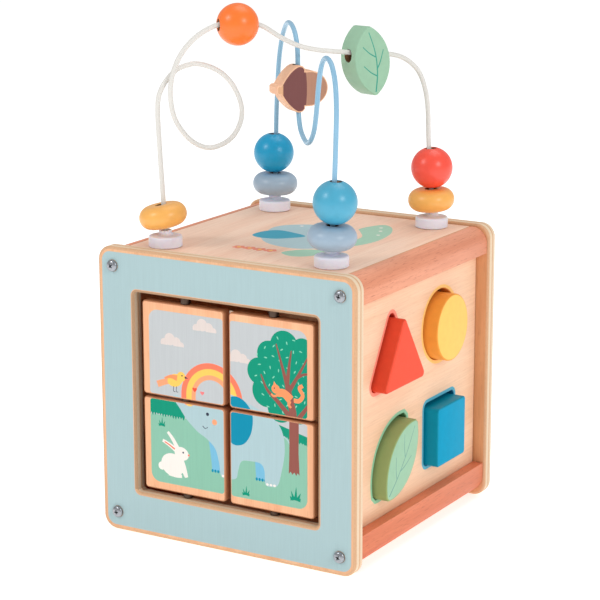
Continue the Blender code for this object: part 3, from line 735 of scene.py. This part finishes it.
def make_sides():
    """Sorter panel with painted lines round its holes, and the left panel."""
    half_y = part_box("sorter_panel")[1].y / MM
    low, high = (corner.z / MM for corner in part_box("sorter_panel"))
    upright = rectangle(-half_y, low, half_y, high, 1)
    lines = {"triangle": (255, 150, 128), "disc": (255, 208, 122), "leaf": (150, 206, 168),
             "square": (90, 178, 200)}
    walls = {"triangle": (226, 84, 62), "disc": (238, 160, 66), "leaf": (104, 158, 116),
             "square": (0, 120, 158)}
    paints = [printed(f"{name}_line", colour, "Y") for name, colour in lines.items()]
    paints += [painted(f"{name}_hole", colour, 0.5) for name, colour in walls.items()]
    holes, prints = [], []
    for number, (name, outline) in enumerate(hole_outlines().items()):
        hole = moved(grown(outline, HOLE_SLACK), 0, HOLE_RISE)
        holes.append(hole)
        prints.append((grown(hole, HOLE_LINE), 3 + number))
    edge = ply_edge("sorter_plies", "X", SIDE_X - SIDE_T, SIDE_T)
    show("sorter_panel", plate(upright, SIDE_T, SIDE_EDGE_R, holes, prints, walls=(7, 8, 9, 10)),
         [PLY_Y, edge, PLY_INSIDE_SHADED, *paints], facing(*RIGHT, (SIDE_X, 0, 0)))
    hatch = rectangle(-HATCH_HALF_Y, HATCH_LOW, HATCH_HALF_Y, HATCH_HIGH, HATCH_R, 16)
    edge = ply_edge("left_plies", "X", -SIDE_X, SIDE_T)
    show("left_panel", plate(upright, SIDE_T, SIDE_EDGE_R, [hatch]), [PLY_Y, edge, PLY_INSIDE_SHADED],
         facing(*LEFT, (-SIDE_X, 0, 0)))


def flower(u, v, size):
    """Five round petals."""
    return [disc(u + size * math.cos(a), v + size * math.sin(a), size * 0.72, 14)
            for a in (math.tau * i / 5 for i in range(5))]


def make_top_and_bottom():
    """Top panel with its printed animal among leaves, and the plain bottom."""
    half_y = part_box("top_panel")[1].y / MM
    flat = rectangle(-68, -half_y, 68, half_y, 1)
    body = smooth([(-16, -16), (-4, -26), (12, -29), (24, -22), (30, -4), (27, 14), (18, 26),
                   (4, 32), (-12, 30), (-23, 22), (-26, 12), (-22, -2)])
    ear = smooth([(-26, -9), (-25, 2), (-19, 8), (-8, 6), (2, 1), (-3, -7), (-10, -13), (-20, -14)])
    leaves = [smooth([(18, 33), (20, 43), (25, 50), (33, 44), (40, 28), (42, 8), (37, -8), (30, -4),
                      (30, 14), (22, 27)]),
              smooth([(12, -41), (15, -33), (21, -27), (29, -26), (33, -33), (28, -43), (20, -46)])]
    marks = [(leaf, 4) for leaf in leaves] + [(body, 3), (ear, 5)]
    for u, v in ((-15, -40.5), (-8.5, -40), (-2, -40.2), (4.5, -39.6)):
        marks += [(petal, 6) for petal in flower(u, v, 2.2)] + [(disc(u, v, 1.1, 12), 7)]
    marks += [(disc(u, v, 1.1, 12), 8) for u, v in ((-14, 24), (27, 42), (31, 34), (35, 24))]
    colours = {"elephant": INK["elephant"], "leaf": (168, 208, 184), "ear": (72, 164, 188),
               "flower": (240, 146, 120), "gold": INK["gold"], "white": INK["white"]}
    inks = [printed(f"top_{name}", colour, "Y") for name, colour in colours.items()]
    edge = ply_edge("top_plies", "Z", TOP_FACE_Z - LEVEL_T, LEVEL_T)
    show("top_panel", plate(flat, LEVEL_T, SIDE_EDGE_R, prints=marks),
         [PLY_TOP, edge, PLY_INSIDE_SHADED, *inks], facing(*UP, (0, 0, TOP_FACE_Z)))
    edge = ply_edge("bottom_plies", "Z", BOTTOM_FACE_Z, LEVEL_T)
    show("bottom_panel", plate(flat, LEVEL_T, SIDE_EDGE_R), [PLY_Y, edge, PLY_INSIDE_SHADED],
         facing(*DOWN, (0, 0, BOTTOM_FACE_Z)))


def make_screws():
    """Pan heads with a tapered cross recess, painted dark as shade."""
    dome = [(SCREW_HEAD_R * math.cos(a), 0.5 + (SCREW_HEAD_H - 0.5) * math.sin(a))
            for a in (math.radians(90 * i / 10) for i in range(10))]
    profile = [(0, -SCREW_LENGTH), (1.6, 2 - SCREW_LENGTH), (1.6, 0), (SCREW_HEAD_R - 0.15, 0),
               (SCREW_HEAD_R, 0.15), *dome, (0, SCREW_HEAD_H)]
    turns = [12, 50, 74, 31, 5, 66, 40, 81]
    for node in sorted(name for name in BODY_OF if name.startswith("screw_")):
        _, end, level, hand = node.split("_")
        slots = []
        for angle in (0, 90):
            slot = bmesh.new()
            bmesh.ops.create_cube(slot, size=1)
            for vert in slot.verts:
                taper = 1.0 if vert.co.z > 0 else 0.45
                vert.co = Vector((vert.co.x * 3.7 * taper, vert.co.y * 0.95 * taper, vert.co.z * 3 + 2.2))
            slot.transform(Matrix.Rotation(math.radians(turns[0] + angle), 4, "Z"))
            for face in slot.faces:
                # the recess faces take the darkened zinc: painted shade
                face.material_index = 1
            slots.append(slot)
        turns.append(turns.pop(0))
        side = -1 if end == "front" else 1
        origin = ((-1 if hand == "left" else 1) * SCREW_X, side * SCREW_SEAT, SCREW_HEIGHTS[level])
        show(node, drilled(turned(profile, 48), slots, [ZINC, SHADED_RECESS]), [ZINC, SHADED_RECESS],
             facing(*(FRONT if side < 0 else BACK), origin))


# Pictures on the blocks; x to the right, z up, over all four blocks

def cloud(u, v):
    puffs = [(-5.2, 1.2, 2.4), (-1.6, 3.4, 3.4), (2.6, 2.2, 2.8), (5.6, 0.8, 1.9)]
    base = rectangle(u - 20, v, u + 20, v + 20, 0.5, 1)
    return [clipped(disc(u + du, v + dv, r), base) for du, dv, r in puffs]


def heart(u, v, size):
    return [(u + size * math.sin(t) ** 3,
             v + size * (13 * math.cos(t) - 5 * math.cos(2 * t) - 2 * math.cos(3 * t)) / 16)
            for t in (math.tau * i / 24 for i in range(24))]


def tuft(u, v, size):
    """Blades of grass that fan out from one place."""
    blades = []
    for lean, height in ((-60, 0.7), (-28, 1.0), (4, 1.35), (36, 1.0), (64, 0.65)):
        a = math.radians(lean)
        tip = (u + size * height * math.sin(a), v + size * height * math.cos(a))
        blades.append(limb([(u + lean * size * 0.006, v), tip], size * 0.42, size * 0.04, 1))
    return blades


def ragged(left, right, high, low, blades, depth):
    """A hedge with a grassy lower edge between two points (x, z)."""
    lower = []
    step = (right - left) / blades
    for i in range(blades):
        u, v = left + step * i, low[0] + (low[1] - low[0]) * i / blades
        drop = depth * (0.5 + 0.5 * math.sin(i * 2.4) ** 2)
        lower += [(u, v), (u + 0.55 * step, v - drop)]
    return [*lower, (right, low[1]), (right, high[1]), (left, high[0])]


def make_landscape():
    """(outline, ink) in painting order: sky, clouds, rainbow, meadow and hedges."""
    art = [(rectangle(-60, 20, 60, 140, 1, 1), "sky")]
    for u, v in ((-34.3, 109.2), (-13.6, 119.6), (7.5, 105.8)):
        art += [(puff, "cloud") for puff in cloud(u, v)]
    for radius, ink in ((19.4, "coral"), (16.2, "gold"), (12.8, "peach"), (10.2, "sky")):
        arch = arc(-9.6, 83.4, radius, 0, 180, 36)
        art.append((arch + [(-9.6 - radius, 76), (-9.6 + radius, 76)], ink))
    art += [(heart(-20.4, 86.9, 1.5), "red"), (heart(-15.6, 85.6, 1.3), "pink")]
    art.append(([(-60, 69.4), (-30, 69.6), (30, 71.5), (60, 66), (60, 20), (-60, 20)], "meadow"))
    art.append((ragged(-52, -27, (80, 80), (70.6, 70.0), 15, 2.0), "bush"))
    art.append((ragged(32, 52, (75.5, 70.6), (70.6, 66.4), 12, 1.6), "bush"))
    return art


def make_tree():
    art = []
    for u, v, radius in ((35.5, 118, 8.6), (26.5, 112.5, 7.6), (20.3, 102.8, 7.4), (24.5, 92.5, 8.6),
                         (33, 84.6, 7.8), (43.5, 86.5, 9), (48, 97, 9), (47, 109, 9.4), (46.5, 118, 6),
                         (35, 101, 13)):
        art.append((disc(u, v, radius, 32), "bush"))
    for i in range(46):
        reach, turn = 19.5 * math.sqrt((i + 0.6) / 46), i * 2.39996
        u, v = 34.5 + reach * 0.92 * math.cos(turn), 102 + reach * 1.12 * math.sin(turn)
        art.append((ellipse(u, v, 0.95, 0.34, 40 + 47 * i, 10), "fleck"))
    branches = [([(41, 74), (40.4, 84), (38.4, 92), (37.4, 98)], 5.0, 3.2),
                ([(37.6, 96), (34.6, 106), (30.6, 119)], 2.6, 0.7),
                ([(37.3, 98), (38.4, 108), (39.8, 116.5)], 2.4, 0.7),
                ([(38.0, 94), (43.5, 103), (49.6, 114)], 2.6, 0.8),
                ([(43.2, 102.4), (47, 104.6), (52, 105.6)], 1.7, 1.0),
                ([(40.6, 79), (32, 87.5), (25, 93.6), (21.2, 101.4)], 3.2, 0.8),
                ([(41.4, 77), (46.4, 83.6), (52, 91)], 3.0, 1.6)]
    art += [(limb(points, wide, thin), "bark") for points, wide, thin in branches]
    trunk = [(38, 49.6), (39.2, 51), (40.2, 49.4), (41.4, 50.8), (42.6, 49.2), (43.4, 50.8),
             (44.6, 49.6), (44, 62), (44.2, 80), (38.4, 80), (38.4, 62)]
    art.append((trunk, "bark"))
    return art


def make_elephant():
    """A plain storybook elephant that faces left with its trunk up."""
    body = smooth([(-34.5, 80.6), (-31.4, 82.4), (-28, 78.6), (-23, 77.2), (-18.4, 81), (-11, 86), (-1, 88),
                   (10, 85.4), (21, 81.4), (29.6, 77.8), (34.4, 71), (35.6, 61), (33.4, 49), (31.2, 42),
                   (27.4, 40.6), (23.6, 41.4), (23, 49), (20.4, 52.4), (14, 52.6), (8.8, 51.6), (6.6, 46),
                   (5.4, 41.6), (0.6, 40.4), (-4.2, 41.4), (-5.4, 48.6), (-7.8, 56), (-13, 60.6),
                   (-19, 63.8), (-25.6, 69.4), (-30.4, 75.4)])
    ear = smooth([(-0.2, 84.4), (5.6, 87), (11.6, 84.6), (15.8, 78.4), (15.2, 69), (11, 62), (5, 60),
                  (1.4, 62.6), (0.6, 70), (-0.6, 78)])
    art = [(limb([(-8.6, 60), (-7.6, 51), (-7.2, 43.4)], 6.4, 5.2), "shade"),
           (limb([(20.4, 54), (20.6, 48), (20.8, 43)], 6.4, 5.6), "shade")]
    for left in (-9.6, 18.2):
        art += [(ellipse(left + 1.8 * i, 43.4, 0.75, 0.9, 0, 12), "ear") for i in range(4)]
    art += [(body, "elephant"), (ear, "ear"), (disc(-12.4, 74.4, 0.95), "dark"),
            (disc(-8, 70.6, 1.6), "peach"),
            (limb([(-15.6, 67.4), (-14, 66.3), (-12.2, 67.2)], 0.5, 0.3), "dark")]
    for left in (-3.0, 24.8):
        art += [(ellipse(left + 2.2 * i, 41.5, 0.85, 0.7, 0, 12), "white") for i in range(3)]
    art += [(limb([(35, 69.6), (37.6, 67.6), (39.8, 63.4)], 0.8, 0.6), "elephant"),
            (ellipse(40.2, 61.8, 1.3, 1.9, 20, 16), "ear")]
    return art


def make_small_animals():
    """Rabbit, bird and squirrel."""
    rabbit = [ellipse(-35.4, 42.4, 7.4, 6.4, -8), disc(-42.4, 40.8, 2.3),
              limb([(-31, 46), (-28.6, 42), (-26.4, 36.6)], 5.6, 2.2),
              limb([(-38, 37.2), (-33, 36.6), (-29.4, 36.8)], 2.4, 1.8),
              ellipse(-29.4, 49.6, 4.6, 3.7, -12),
              limb([(-31.6, 51.6), (-35, 57), (-38.2, 60.6)], 2.7, 1.6),
              limb([(-32.4, 50.8), (-37, 53.4), (-41.6, 55.4)], 2.9, 1.8)]
    rabbit = [(part, "white") for part in rabbit]
    rabbit += [(limb([(-33.8, 51.5), (-37, 53.3), (-40.4, 54.8)], 0.9, 0.7), "coral"),
               (disc(-28.4, 50.4, 0.55, 12), "dark"), (disc(-24.8, 49.4, 0.6, 12), "coral")]
    bird = [(limb([(-36, 89.6), (-40.4, 88.2), (-44.4, 86.6)], 3.0, 3.6), "peach"),
            (ellipse(-33, 90.2, 4.9, 3.5, 18), "gold"), (disc(-28.9, 92.8, 2.7), "gold"),
            (limb([(-31.6, 91.6), (-35.6, 92), (-39.8, 90.6)], 3.2, 0.8), "rust"),
            ([(-26.7, 93.4), (-24.4, 92.4), (-26.7, 92.0)], "dark"), (disc(-28.4, 93.4, 0.45, 10), "dark"),
            (limb([(-33.8, 87), (-34, 84.2), (-32.8, 83.9)], 0.35), "dark"),
            (limb([(-32, 87), (-32.2, 84.2), (-31, 83.9)], 0.35), "dark")]
    squirrel = [(limb([(41.2, 90), (44.4, 90.2), (46.6, 93.4), (44.6, 97), (46.6, 98.6)], 2.4, 2.0), "rust"),
                (limb([(31.4, 92.6), (35.2, 93), (39.4, 90)], 4.0, 5.0), "rust"),
                (disc(30.2, 94.6, 2.5), "rust"), ([(28.8, 96.2), (29.2, 98.8), (30.8, 96.8)], "rust"),
                (limb([(32.2, 92), (29.2, 90.6), (27.4, 91.6)], 1.4, 1.0), "rust"),
                (limb([(38.8, 89.4), (38.2, 87.2), (39.6, 85.8)], 2.0, 1.2), "rust"),
                (disc(29.4, 95, 0.4, 10), "dark")]
    return rabbit + bird + squirrel


def make_picture():
    art = make_landscape() + make_elephant() + make_tree() + make_small_animals()
    for u, v, size in ((-42, 63.4, 3.6), (11.4, 33.2, 3.8), (42, 35.6, 5.4)):
        art += [(blade, "bush") for blade in tuft(u, v, size)]
    return art


def print_window(side, row):
    """Where a block is printed, in its own (u, v): bare wood only at the picture's rim."""
    inner = BLOCK / 2 - BLOCK_EDGE_R - 0.1
    outer_u, outer_v = BLOCK / 2 - PRINT_SIDE, BLOCK / 2 - PRINT_TOP
    u0, u1 = (-outer_u, inner) if side < 0 else (-inner, outer_u)
    v0, v1 = (-outer_v, inner) if row < 0 else (-inner, outer_v)
    radii = [5.5 if (u_side == side and v_side == row) else 1.6
             for u_side, v_side in ((-1, -1), (1, -1), (1, 1), (-1, 1))]
    return rounded([(u0, v0), (u1, v0), (u1, v1), (u0, v1)], radii, 8)


def make_blocks():
    """Four blocks that turn on their rods, with the picture across their fronts."""
    picture = make_picture()
    names = sorted(INK)
    half = BLOCK / 2
    for side, hand in ((-1, "left"), (1, "right")):
        for row, level in ((1, "upper"), (-1, "lower")):
            centre = (side * BLOCK_X, BLOCK_Z[level])
            window = print_window(side, row)
            prints = []
            for outline, ink in picture:
                outline = outline if area(outline) > 0 else outline[::-1]
                shape = clipped(moved(outline, -centre[0], -centre[1]), window)
                if len(shape) > 2:
                    prints.append((shape, 3 + names.index(ink)))
            outline = rectangle(-half, -half, half, half, 2)
            slab = plate(outline, BLOCK_T, BLOCK_EDGE_R, prints=prints)
            bore = rod(BLOCK_BORE_R, -BLOCK, BLOCK, 1, 24)
            bore.transform(facing((1, 0, 0), (0, 0, -1), (0, 0, -BLOCK_T / 2)))
            materials = [PLY_BLOCK, BARE_EDGE, PLY_BLOCK, *(INKS[name] for name in names)]
            place = facing(*FRONT, (centre[0], AXLE_Y - BLOCK_T / 2, centre[1]))
            show(f"picture_block_{level}_{hand}", drilled(slab, [bore], materials), materials, place)


def make_axles():
    """Steel rods with chamfered ends, and the spacer rings on them."""
    for hand in ("left", "right"):
        node = f"block_axle_{hand}"
        low, high = (corner.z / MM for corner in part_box(node))
        origin = (middle(node).x, AXLE_Y, 0)
        profile = [(0, low), (AXLE_R - 0.3, low), (AXLE_R, low + 0.3), (AXLE_R, high - 0.3),
                   (AXLE_R - 0.3, high), (0, high)]
        show(node, turned(profile, 32), [ZINC], Matrix.Translation(origin))
        for level in ("lower", "middle", "upper"):
            ring = f"block_spacer_{level}_{hand}"
            low, high = (corner.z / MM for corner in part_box(ring))
            rim = SPACER_R - 0.2
            profile = [(SPACER_BORE_R, low), (rim, low), (SPACER_R, low + 0.2),
                       (SPACER_R, high - 0.2), (rim, high), (SPACER_BORE_R, high)]
            # the spacers take the darkened colour: painted shade
            show(ring, turned(profile, 48), [SHADED_SPACER], Matrix.Translation(origin))


# Sorter shapes

def veins(length, bow, twigs):
    """A bowed midrib along u, and side veins as (start, reach, spread)."""
    rib = [(-0.44 * length, -0.1 * bow), (-0.2 * length, 0.85 * bow), (0.02 * length, bow),
           (0.2 * length, 0.6 * bow), (0.41 * length, -0.35 * bow)]
    strokes = [limb(rib, 0.85, 0.5)]
    for start, reach, spread in twigs:
        root = (length * start, 0.85 * bow)
        bend = (root[0] + reach * 0.4, root[1] + spread * 0.5)
        strokes.append(limb([root, bend, (root[0] + reach, root[1] + spread)], 0.75, 0.45))
    return strokes


def make_sorter_shapes():
    paints = {"triangle": "red", "disc": "yellow", "leaf": "green", "square": "teal"}
    # the shapes' sides: their face paint made darker and more saturated, as painted shade
    sides = {"triangle": (226, 78, 52), "disc": (240, 160, 66), "leaf": (150, 172, 112),
             "square": (0, 142, 172)}
    vein = painted("shape_vein", (112, 164, 148))
    for name, outline in hole_outlines().items():
        paint = painted(f"shape_{name}", INK[paints[name]], 0.42, specular=0.04)
        prints = []
        if name == "leaf":
            lines = veins(LEAF_L, -1.5, ((0.05, 9, 9), (-0.225, 9, 9), (-0.13, 13, -6)))
            prints = [(moved(line, *LEAF_AT, LEAF_TILT), 3) for line in lines]
        # side faces take the shaded copy of the paint: painted shade
        materials = [paint, painted(f"shape_{name}_side", sides[name], 0.42, specular=0.12), paint, vein]
        show(f"sorter_{name}", plate(outline, SHAPE_L, 0.7, prints=prints), materials,
             facing(*RIGHT, (SHAPE_FACE_X, 0, 0)))


# Bead maze

def along_and_side(foot):
    """Unit vectors along a wire's diagonal and sideways to the right of it."""
    along = Vector((foot[0], foot[1], 0)).normalized()
    return along, Vector((abs(along.y), -along.x if along.y > 0 else along.x, 0))


def tube(route, radius, sides=20):
    """A round wire along a smooth route, with slightly rounded ends."""
    bm = bmesh.new()
    directions = [(route[min(i + 1, len(route) - 1)] - route[max(i - 1, 0)]).normalized()
                  for i in range(len(route))]
    side = directions[0].orthogonal()
    rings = []
    for place, ahead in zip(route, directions):
        side = (side - ahead * side.dot(ahead)).normalized()
        up = ahead.cross(side)
        rings.append([bm.verts.new(place + (side * math.cos(a) + up * math.sin(a)) * radius)
                      for a in (math.tau * i / sides for i in range(sides))])
    for one, other in zip(rings, rings[1:]):
        bridge(bm, one, other, 0)
    bm.faces.new(rings[0])
    bm.faces.new(rings[-1])
    return bm


def make_wires():
    white = painted("white_wire_paint", (226, 223, 217), 0.3, 0.1, 40, 0.02)
    blue = painted("blue_wire_paint", (142, 188, 216), 0.3, 0.1, 40, 0.02)
    for node, foot, places, paint in (("white_wire", WHITE_FOOT, WHITE_ROUTE, white),
                                      ("blue_wire", BLUE_FOOT, BLUE_ROUTE, blue)):
        along, side = along_and_side(foot)
        points = [along * s + side * n + Vector((0, 0, z)) for s, z, n in places]
        show(node, tube(smooth(points, closed=False, steps=8), WIRE_R), [paint])


def make_feet():
    """Moulded feet with a sloping shoulder, and push nuts under the top panel."""
    for name in ("front_left", "front_right", "back_left", "back_right"):
        node = f"wire_foot_{name}"
        low, high = (corner.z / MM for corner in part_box(node))
        x, y = (round(value) for value in middle(node).xy)
        shoulder = low + 6
        profile = [(FOOT_BORE_R, low), (FOOT_R - 0.4, low), (FOOT_R, low + 0.4),
                   *arc(FOOT_R - 1.1, shoulder - 1.1, 1.1, 0, 80, 8),
                   (NECK_R + 2.6, shoulder + 0.2), *arc(NECK_R + 1.7, shoulder + 2, 1.7, 270, 180, 8),
                   (NECK_R, high - 0.3), (NECK_R - 0.3, high), (FOOT_BORE_R, high)]
        show(node, turned(profile, 64), [WHITE_PLASTIC], Matrix.Translation((x, y, 0)))
        nut = f"push_nut_{name}"
        low, high = (corner.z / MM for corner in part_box(nut))
        profile = [(FOOT_BORE_R, low), (NUT_R - 0.4, low), (NUT_R, low + 0.4), (NUT_R, high),
                   (FOOT_BORE_R, high)]
        show(nut, turned(profile, 40), [ZINC], Matrix.Translation((x, y, 0)))


def ball_profile(radius=BALL_R):
    """A drilled ball from the lower rim of its bore round to the upper one."""
    start = math.degrees(math.asin((BEAD_BORE_R + 0.25) / radius)) - 90
    sphere = arc(0, 0, radius, start, -start, 40)
    rim = sphere[-1][1] - 0.35
    return [(BEAD_BORE_R, -rim), *sphere, (BEAD_BORE_R, rim)]


def disc_profile():
    """A drilled bead with a full round rim."""
    rim = DISC_BEAD_H / 2
    return [(BEAD_BORE_R, -rim + 0.3), (BEAD_BORE_R + 0.3, -rim),
            *arc(DISC_BEAD_R - rim, 0, rim, -90, 90, 32),
            (BEAD_BORE_R + 0.3, rim), (BEAD_BORE_R, rim - 0.3)]


def turned_bead(node, profile, paint, axis):
    """A turned bead at its CAD node's place, with bare wood in its bore, darkened as painted shade."""
    bands = [0] * (len(profile) - 1) + [1]
    show(node, turned(profile, 72, bands), [paint, SHADED_BORE], towards(axis, middle(node)))


def make_turned_beads():
    for colour, rgb in (("red", (250, 82, 62)), ("teal", (0, 156, 202)), ("sky", (74, 169, 201))):
        node = f"ball_{colour}"
        paint = painted(f"{colour}_paint", rgb, 0.33, specular=0.55)
        turned_bead(node, ball_profile(), paint, JOINT_OF[BODY_OF[node]]["axis"])
    yellow = painted("yellow_paint", (250, 182, 92), 0.34, specular=0.5)
    pale = painted("pale_blue_paint", (160, 182, 201), 0.34, specular=0.5)
    for name, paint in (("front_left", yellow), ("back_right", yellow), ("back_left", pale),
                        ("front_right", pale)):
        node = f"disc_bead_{name}"
        axis = Vector(JOINT_OF[BODY_OF[node]]["axis"])
        if name == "front_left":
            placed = towards(axis, (0, 0, 0))
            lean = Matrix.Rotation(math.radians(LONE_DISC_LEAN), 4, Vector(LEAN_ABOUT))
            axis = (placed @ lean).to_3x3() @ Vector((0, 0, 1))
        turned_bead(node, disc_profile(), paint, axis)
    arc_joint = JOINT_OF[BODY_OF["ball_orange"]]
    spoke = middle("ball_orange") - Vector(arc_joint["pos_m"]) / MM
    low, high = (corner.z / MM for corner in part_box("ball_orange"))
    paint = painted("orange_paint", (255, 122, 40), 0.33, specular=0.55)
    turned_bead("ball_orange", ball_profile((high - low) / 2 - 0.02), paint,
                Vector(arc_joint["axis"]).cross(spoke))


def make_leaf_bead():
    along, side = along_and_side(WHITE_FOOT)
    origin = along * LEAF_BEAD_ALONG + Vector((0, 0, LEAF_BEAD_Z))
    pose = towards(side, origin, along + Vector((0, 0, LEAF_BEAD_SLOPE)))
    for angle, about in LEAF_BEAD_TURNS:
        pose = pose @ Matrix.Rotation(math.radians(angle), 4, about)
    upright = 90 + LEAF_BEAD_TILT
    outline = moved(lens(LEAF_BEAD_L, LEAF_BEAD_W, 28, 0.03), 0, -LEAF_BEAD_DRILL_UP, upright)
    lines = veins(LEAF_BEAD_L, -2.2, ((0.05, 6.5, 7.4), (-0.225, 6.7, 8), (-0.13, 10.2, -5.4)))
    prints = [(moved(line, 0, -LEAF_BEAD_DRILL_UP, upright), 3) for line in lines]
    paint = painted("leaf_bead_paint", (156, 197, 167), 0.45)
    materials = [paint, paint, paint, INKS["vein"], SHADED_BORE]
    slab = plate(outline, LEAF_BEAD_T, 0.8, prints=prints)
    bore = rod(LEAF_BEAD_BORE_R, -LEAF_BEAD_W, LEAF_BEAD_W, 4)
    bore.transform(facing((0, 0, -1), (0, 1, 0), (0, 0, -LEAF_BEAD_T / 2)))
    show("leaf_bead", drilled(slab, [bore], materials), materials,
         pose @ Matrix.Translation((0, 0, LEAF_BEAD_T / 2)))


def acorn_outline():
    """An acorn lying along u: stalk at -u, nut at +u, the drill hole at u = 0."""
    cap_r, nut_r = ACORN_CAP / 2, ACORN_NUT / 2
    cap_end = 2.6
    upper = smooth([(1.4, cap_r - 0.5), (-0.4, cap_r), (-2.8, cap_r - 0.5), (-6.2, cap_r - 3),
                    (-9.4, cap_r - 6.6), (-11.6, 2.9), (-13.2, 2.7), (-14.3, 1.6)], closed=False, steps=3)
    upper = [(cap_end, nut_r + 1.2), *(tuple(p) for p in upper)]
    lower = [(u, -v) for u, v in reversed(upper)]
    belly = [(5.2 + 11 * u, nut_r * v) for u, v in arc(0, 0, 1, -90, 90, 28)]
    return [*lower, (cap_end, -nut_r), *belly, (cap_end, nut_r), *upper]


def make_acorn_bead():
    joint = JOINT_OF[BODY_OF["acorn_bead"]]
    turn = math.radians(ACORN_FACING)
    out = Vector((math.sin(turn), -math.cos(turn), 0))
    pose = towards(out, Vector(joint["pos_m"]) / MM, Vector((0, 0, 1)).cross(out))
    outline = acorn_outline()
    face = clipped(grown(outline, -0.75), rectangle(-10.6, -20, 20, 20, 1))
    cup = clipped(face, disc(-58, 0, 61.5, 120))
    materials = [PLY_Z, wood("acorn_edge", (252, 206, 172), (244, 188, 150), "Z"), PLY_Z,
                 INKS["nut"], INKS["cap"], SHADED_BORE]
    inks = [(face, 3), (cup, 4)]
    slab = plate(outline, ACORN_T, 0.7, prints=inks, back_prints=inks)
    bore = rod(ACORN_BORE_R, -ACORN_CAP, ACORN_CAP, 5)
    wire_axis = pose.to_3x3().inverted() @ Vector(joint["axis"])
    bore.transform(towards(wire_axis, (0, 0, -ACORN_T / 2), (0, 0, 1)))
    show("acorn_bead", drilled(slab, [bore], materials), materials,
         pose @ Matrix.Translation((0, 0, ACORN_T / 2)))


# Stage, light and camera

def make_stage():
    floor = bpy.data.meshes.new("floor")
    half = 12
    floor.from_pydata([(-half, -half, 0), (half, -half, 0), (half, half, 0), (-half, half, 0)],
                      [], [(0, 1, 2, 3)])
    made, tree, shader = new_material("floor", 0.9)
    tone = noise(tree, stretched(tree, "Z", 3, 3), 2.0)
    tree.links.new(greys(tree, tone, 0.93, 0.95), shader.inputs["Base Color"])
    shader.inputs["Emission Color"].default_value = (1, 1, 1, 1)
    shader.inputs["Emission Strength"].default_value = 0.55
    floor.materials.append(made)
    stage = bpy.data.objects.new("floor", floor)
    bpy.context.collection.objects.link(stage)


def make_light():
    world = bpy.data.worlds.new("studio")
    world.use_nodes = True
    world.node_tree.nodes["Background"].inputs["Color"].default_value = (1, 1, 1, 1)
    world.node_tree.nodes["Background"].inputs["Strength"].default_value = 0.5
    bpy.context.scene.world = world
    for name, place, size, power in (("key", (-0.75, -1.25, 1.25), 0.4, 7),
                                     ("fill", (1.5, -0.55, 0.95), 0.4, 7),
                                     ("top", (0.1, 0.5, 1.9), 1.2, 9)):
        data = bpy.data.lights.new(name, "AREA")
        data.size = size
        data.energy = power
        lamp = bpy.data.objects.new(name, data)
        lamp.location = place
        aim = Vector((0, 0, 0.15)) - Vector(place)
        lamp.rotation_euler = aim.to_track_quat("-Z", "Y").to_euler()
        bpy.context.collection.objects.link(lamp)


def make_camera():
    """A long lens, a little above the cube and to its front right."""
    data = bpy.data.cameras.new("camera")
    data.lens = 126.0
    data.sensor_width = 36
    camera = bpy.data.objects.new("camera", data)
    right, up = Vector((0.85907, 0.51185, -0.00198)), Vector((-0.11935, 0.20407, 0.97165))
    camera.matrix_world = facing(right, up, (0.5789, -0.9722, 0.3976))
    bpy.context.collection.objects.link(camera)
    bpy.context.scene.camera = camera
    bpy.context.scene.view_settings.view_transform = "Standard"


for make in (make_camera, make_light, make_stage, make_end_panels, make_rails, make_sides,
             make_top_and_bottom, make_screws, make_blocks, make_axles, make_sorter_shapes,
             make_wires, make_feet, make_turned_beads, make_leaf_bead, make_acorn_bead):
    make()
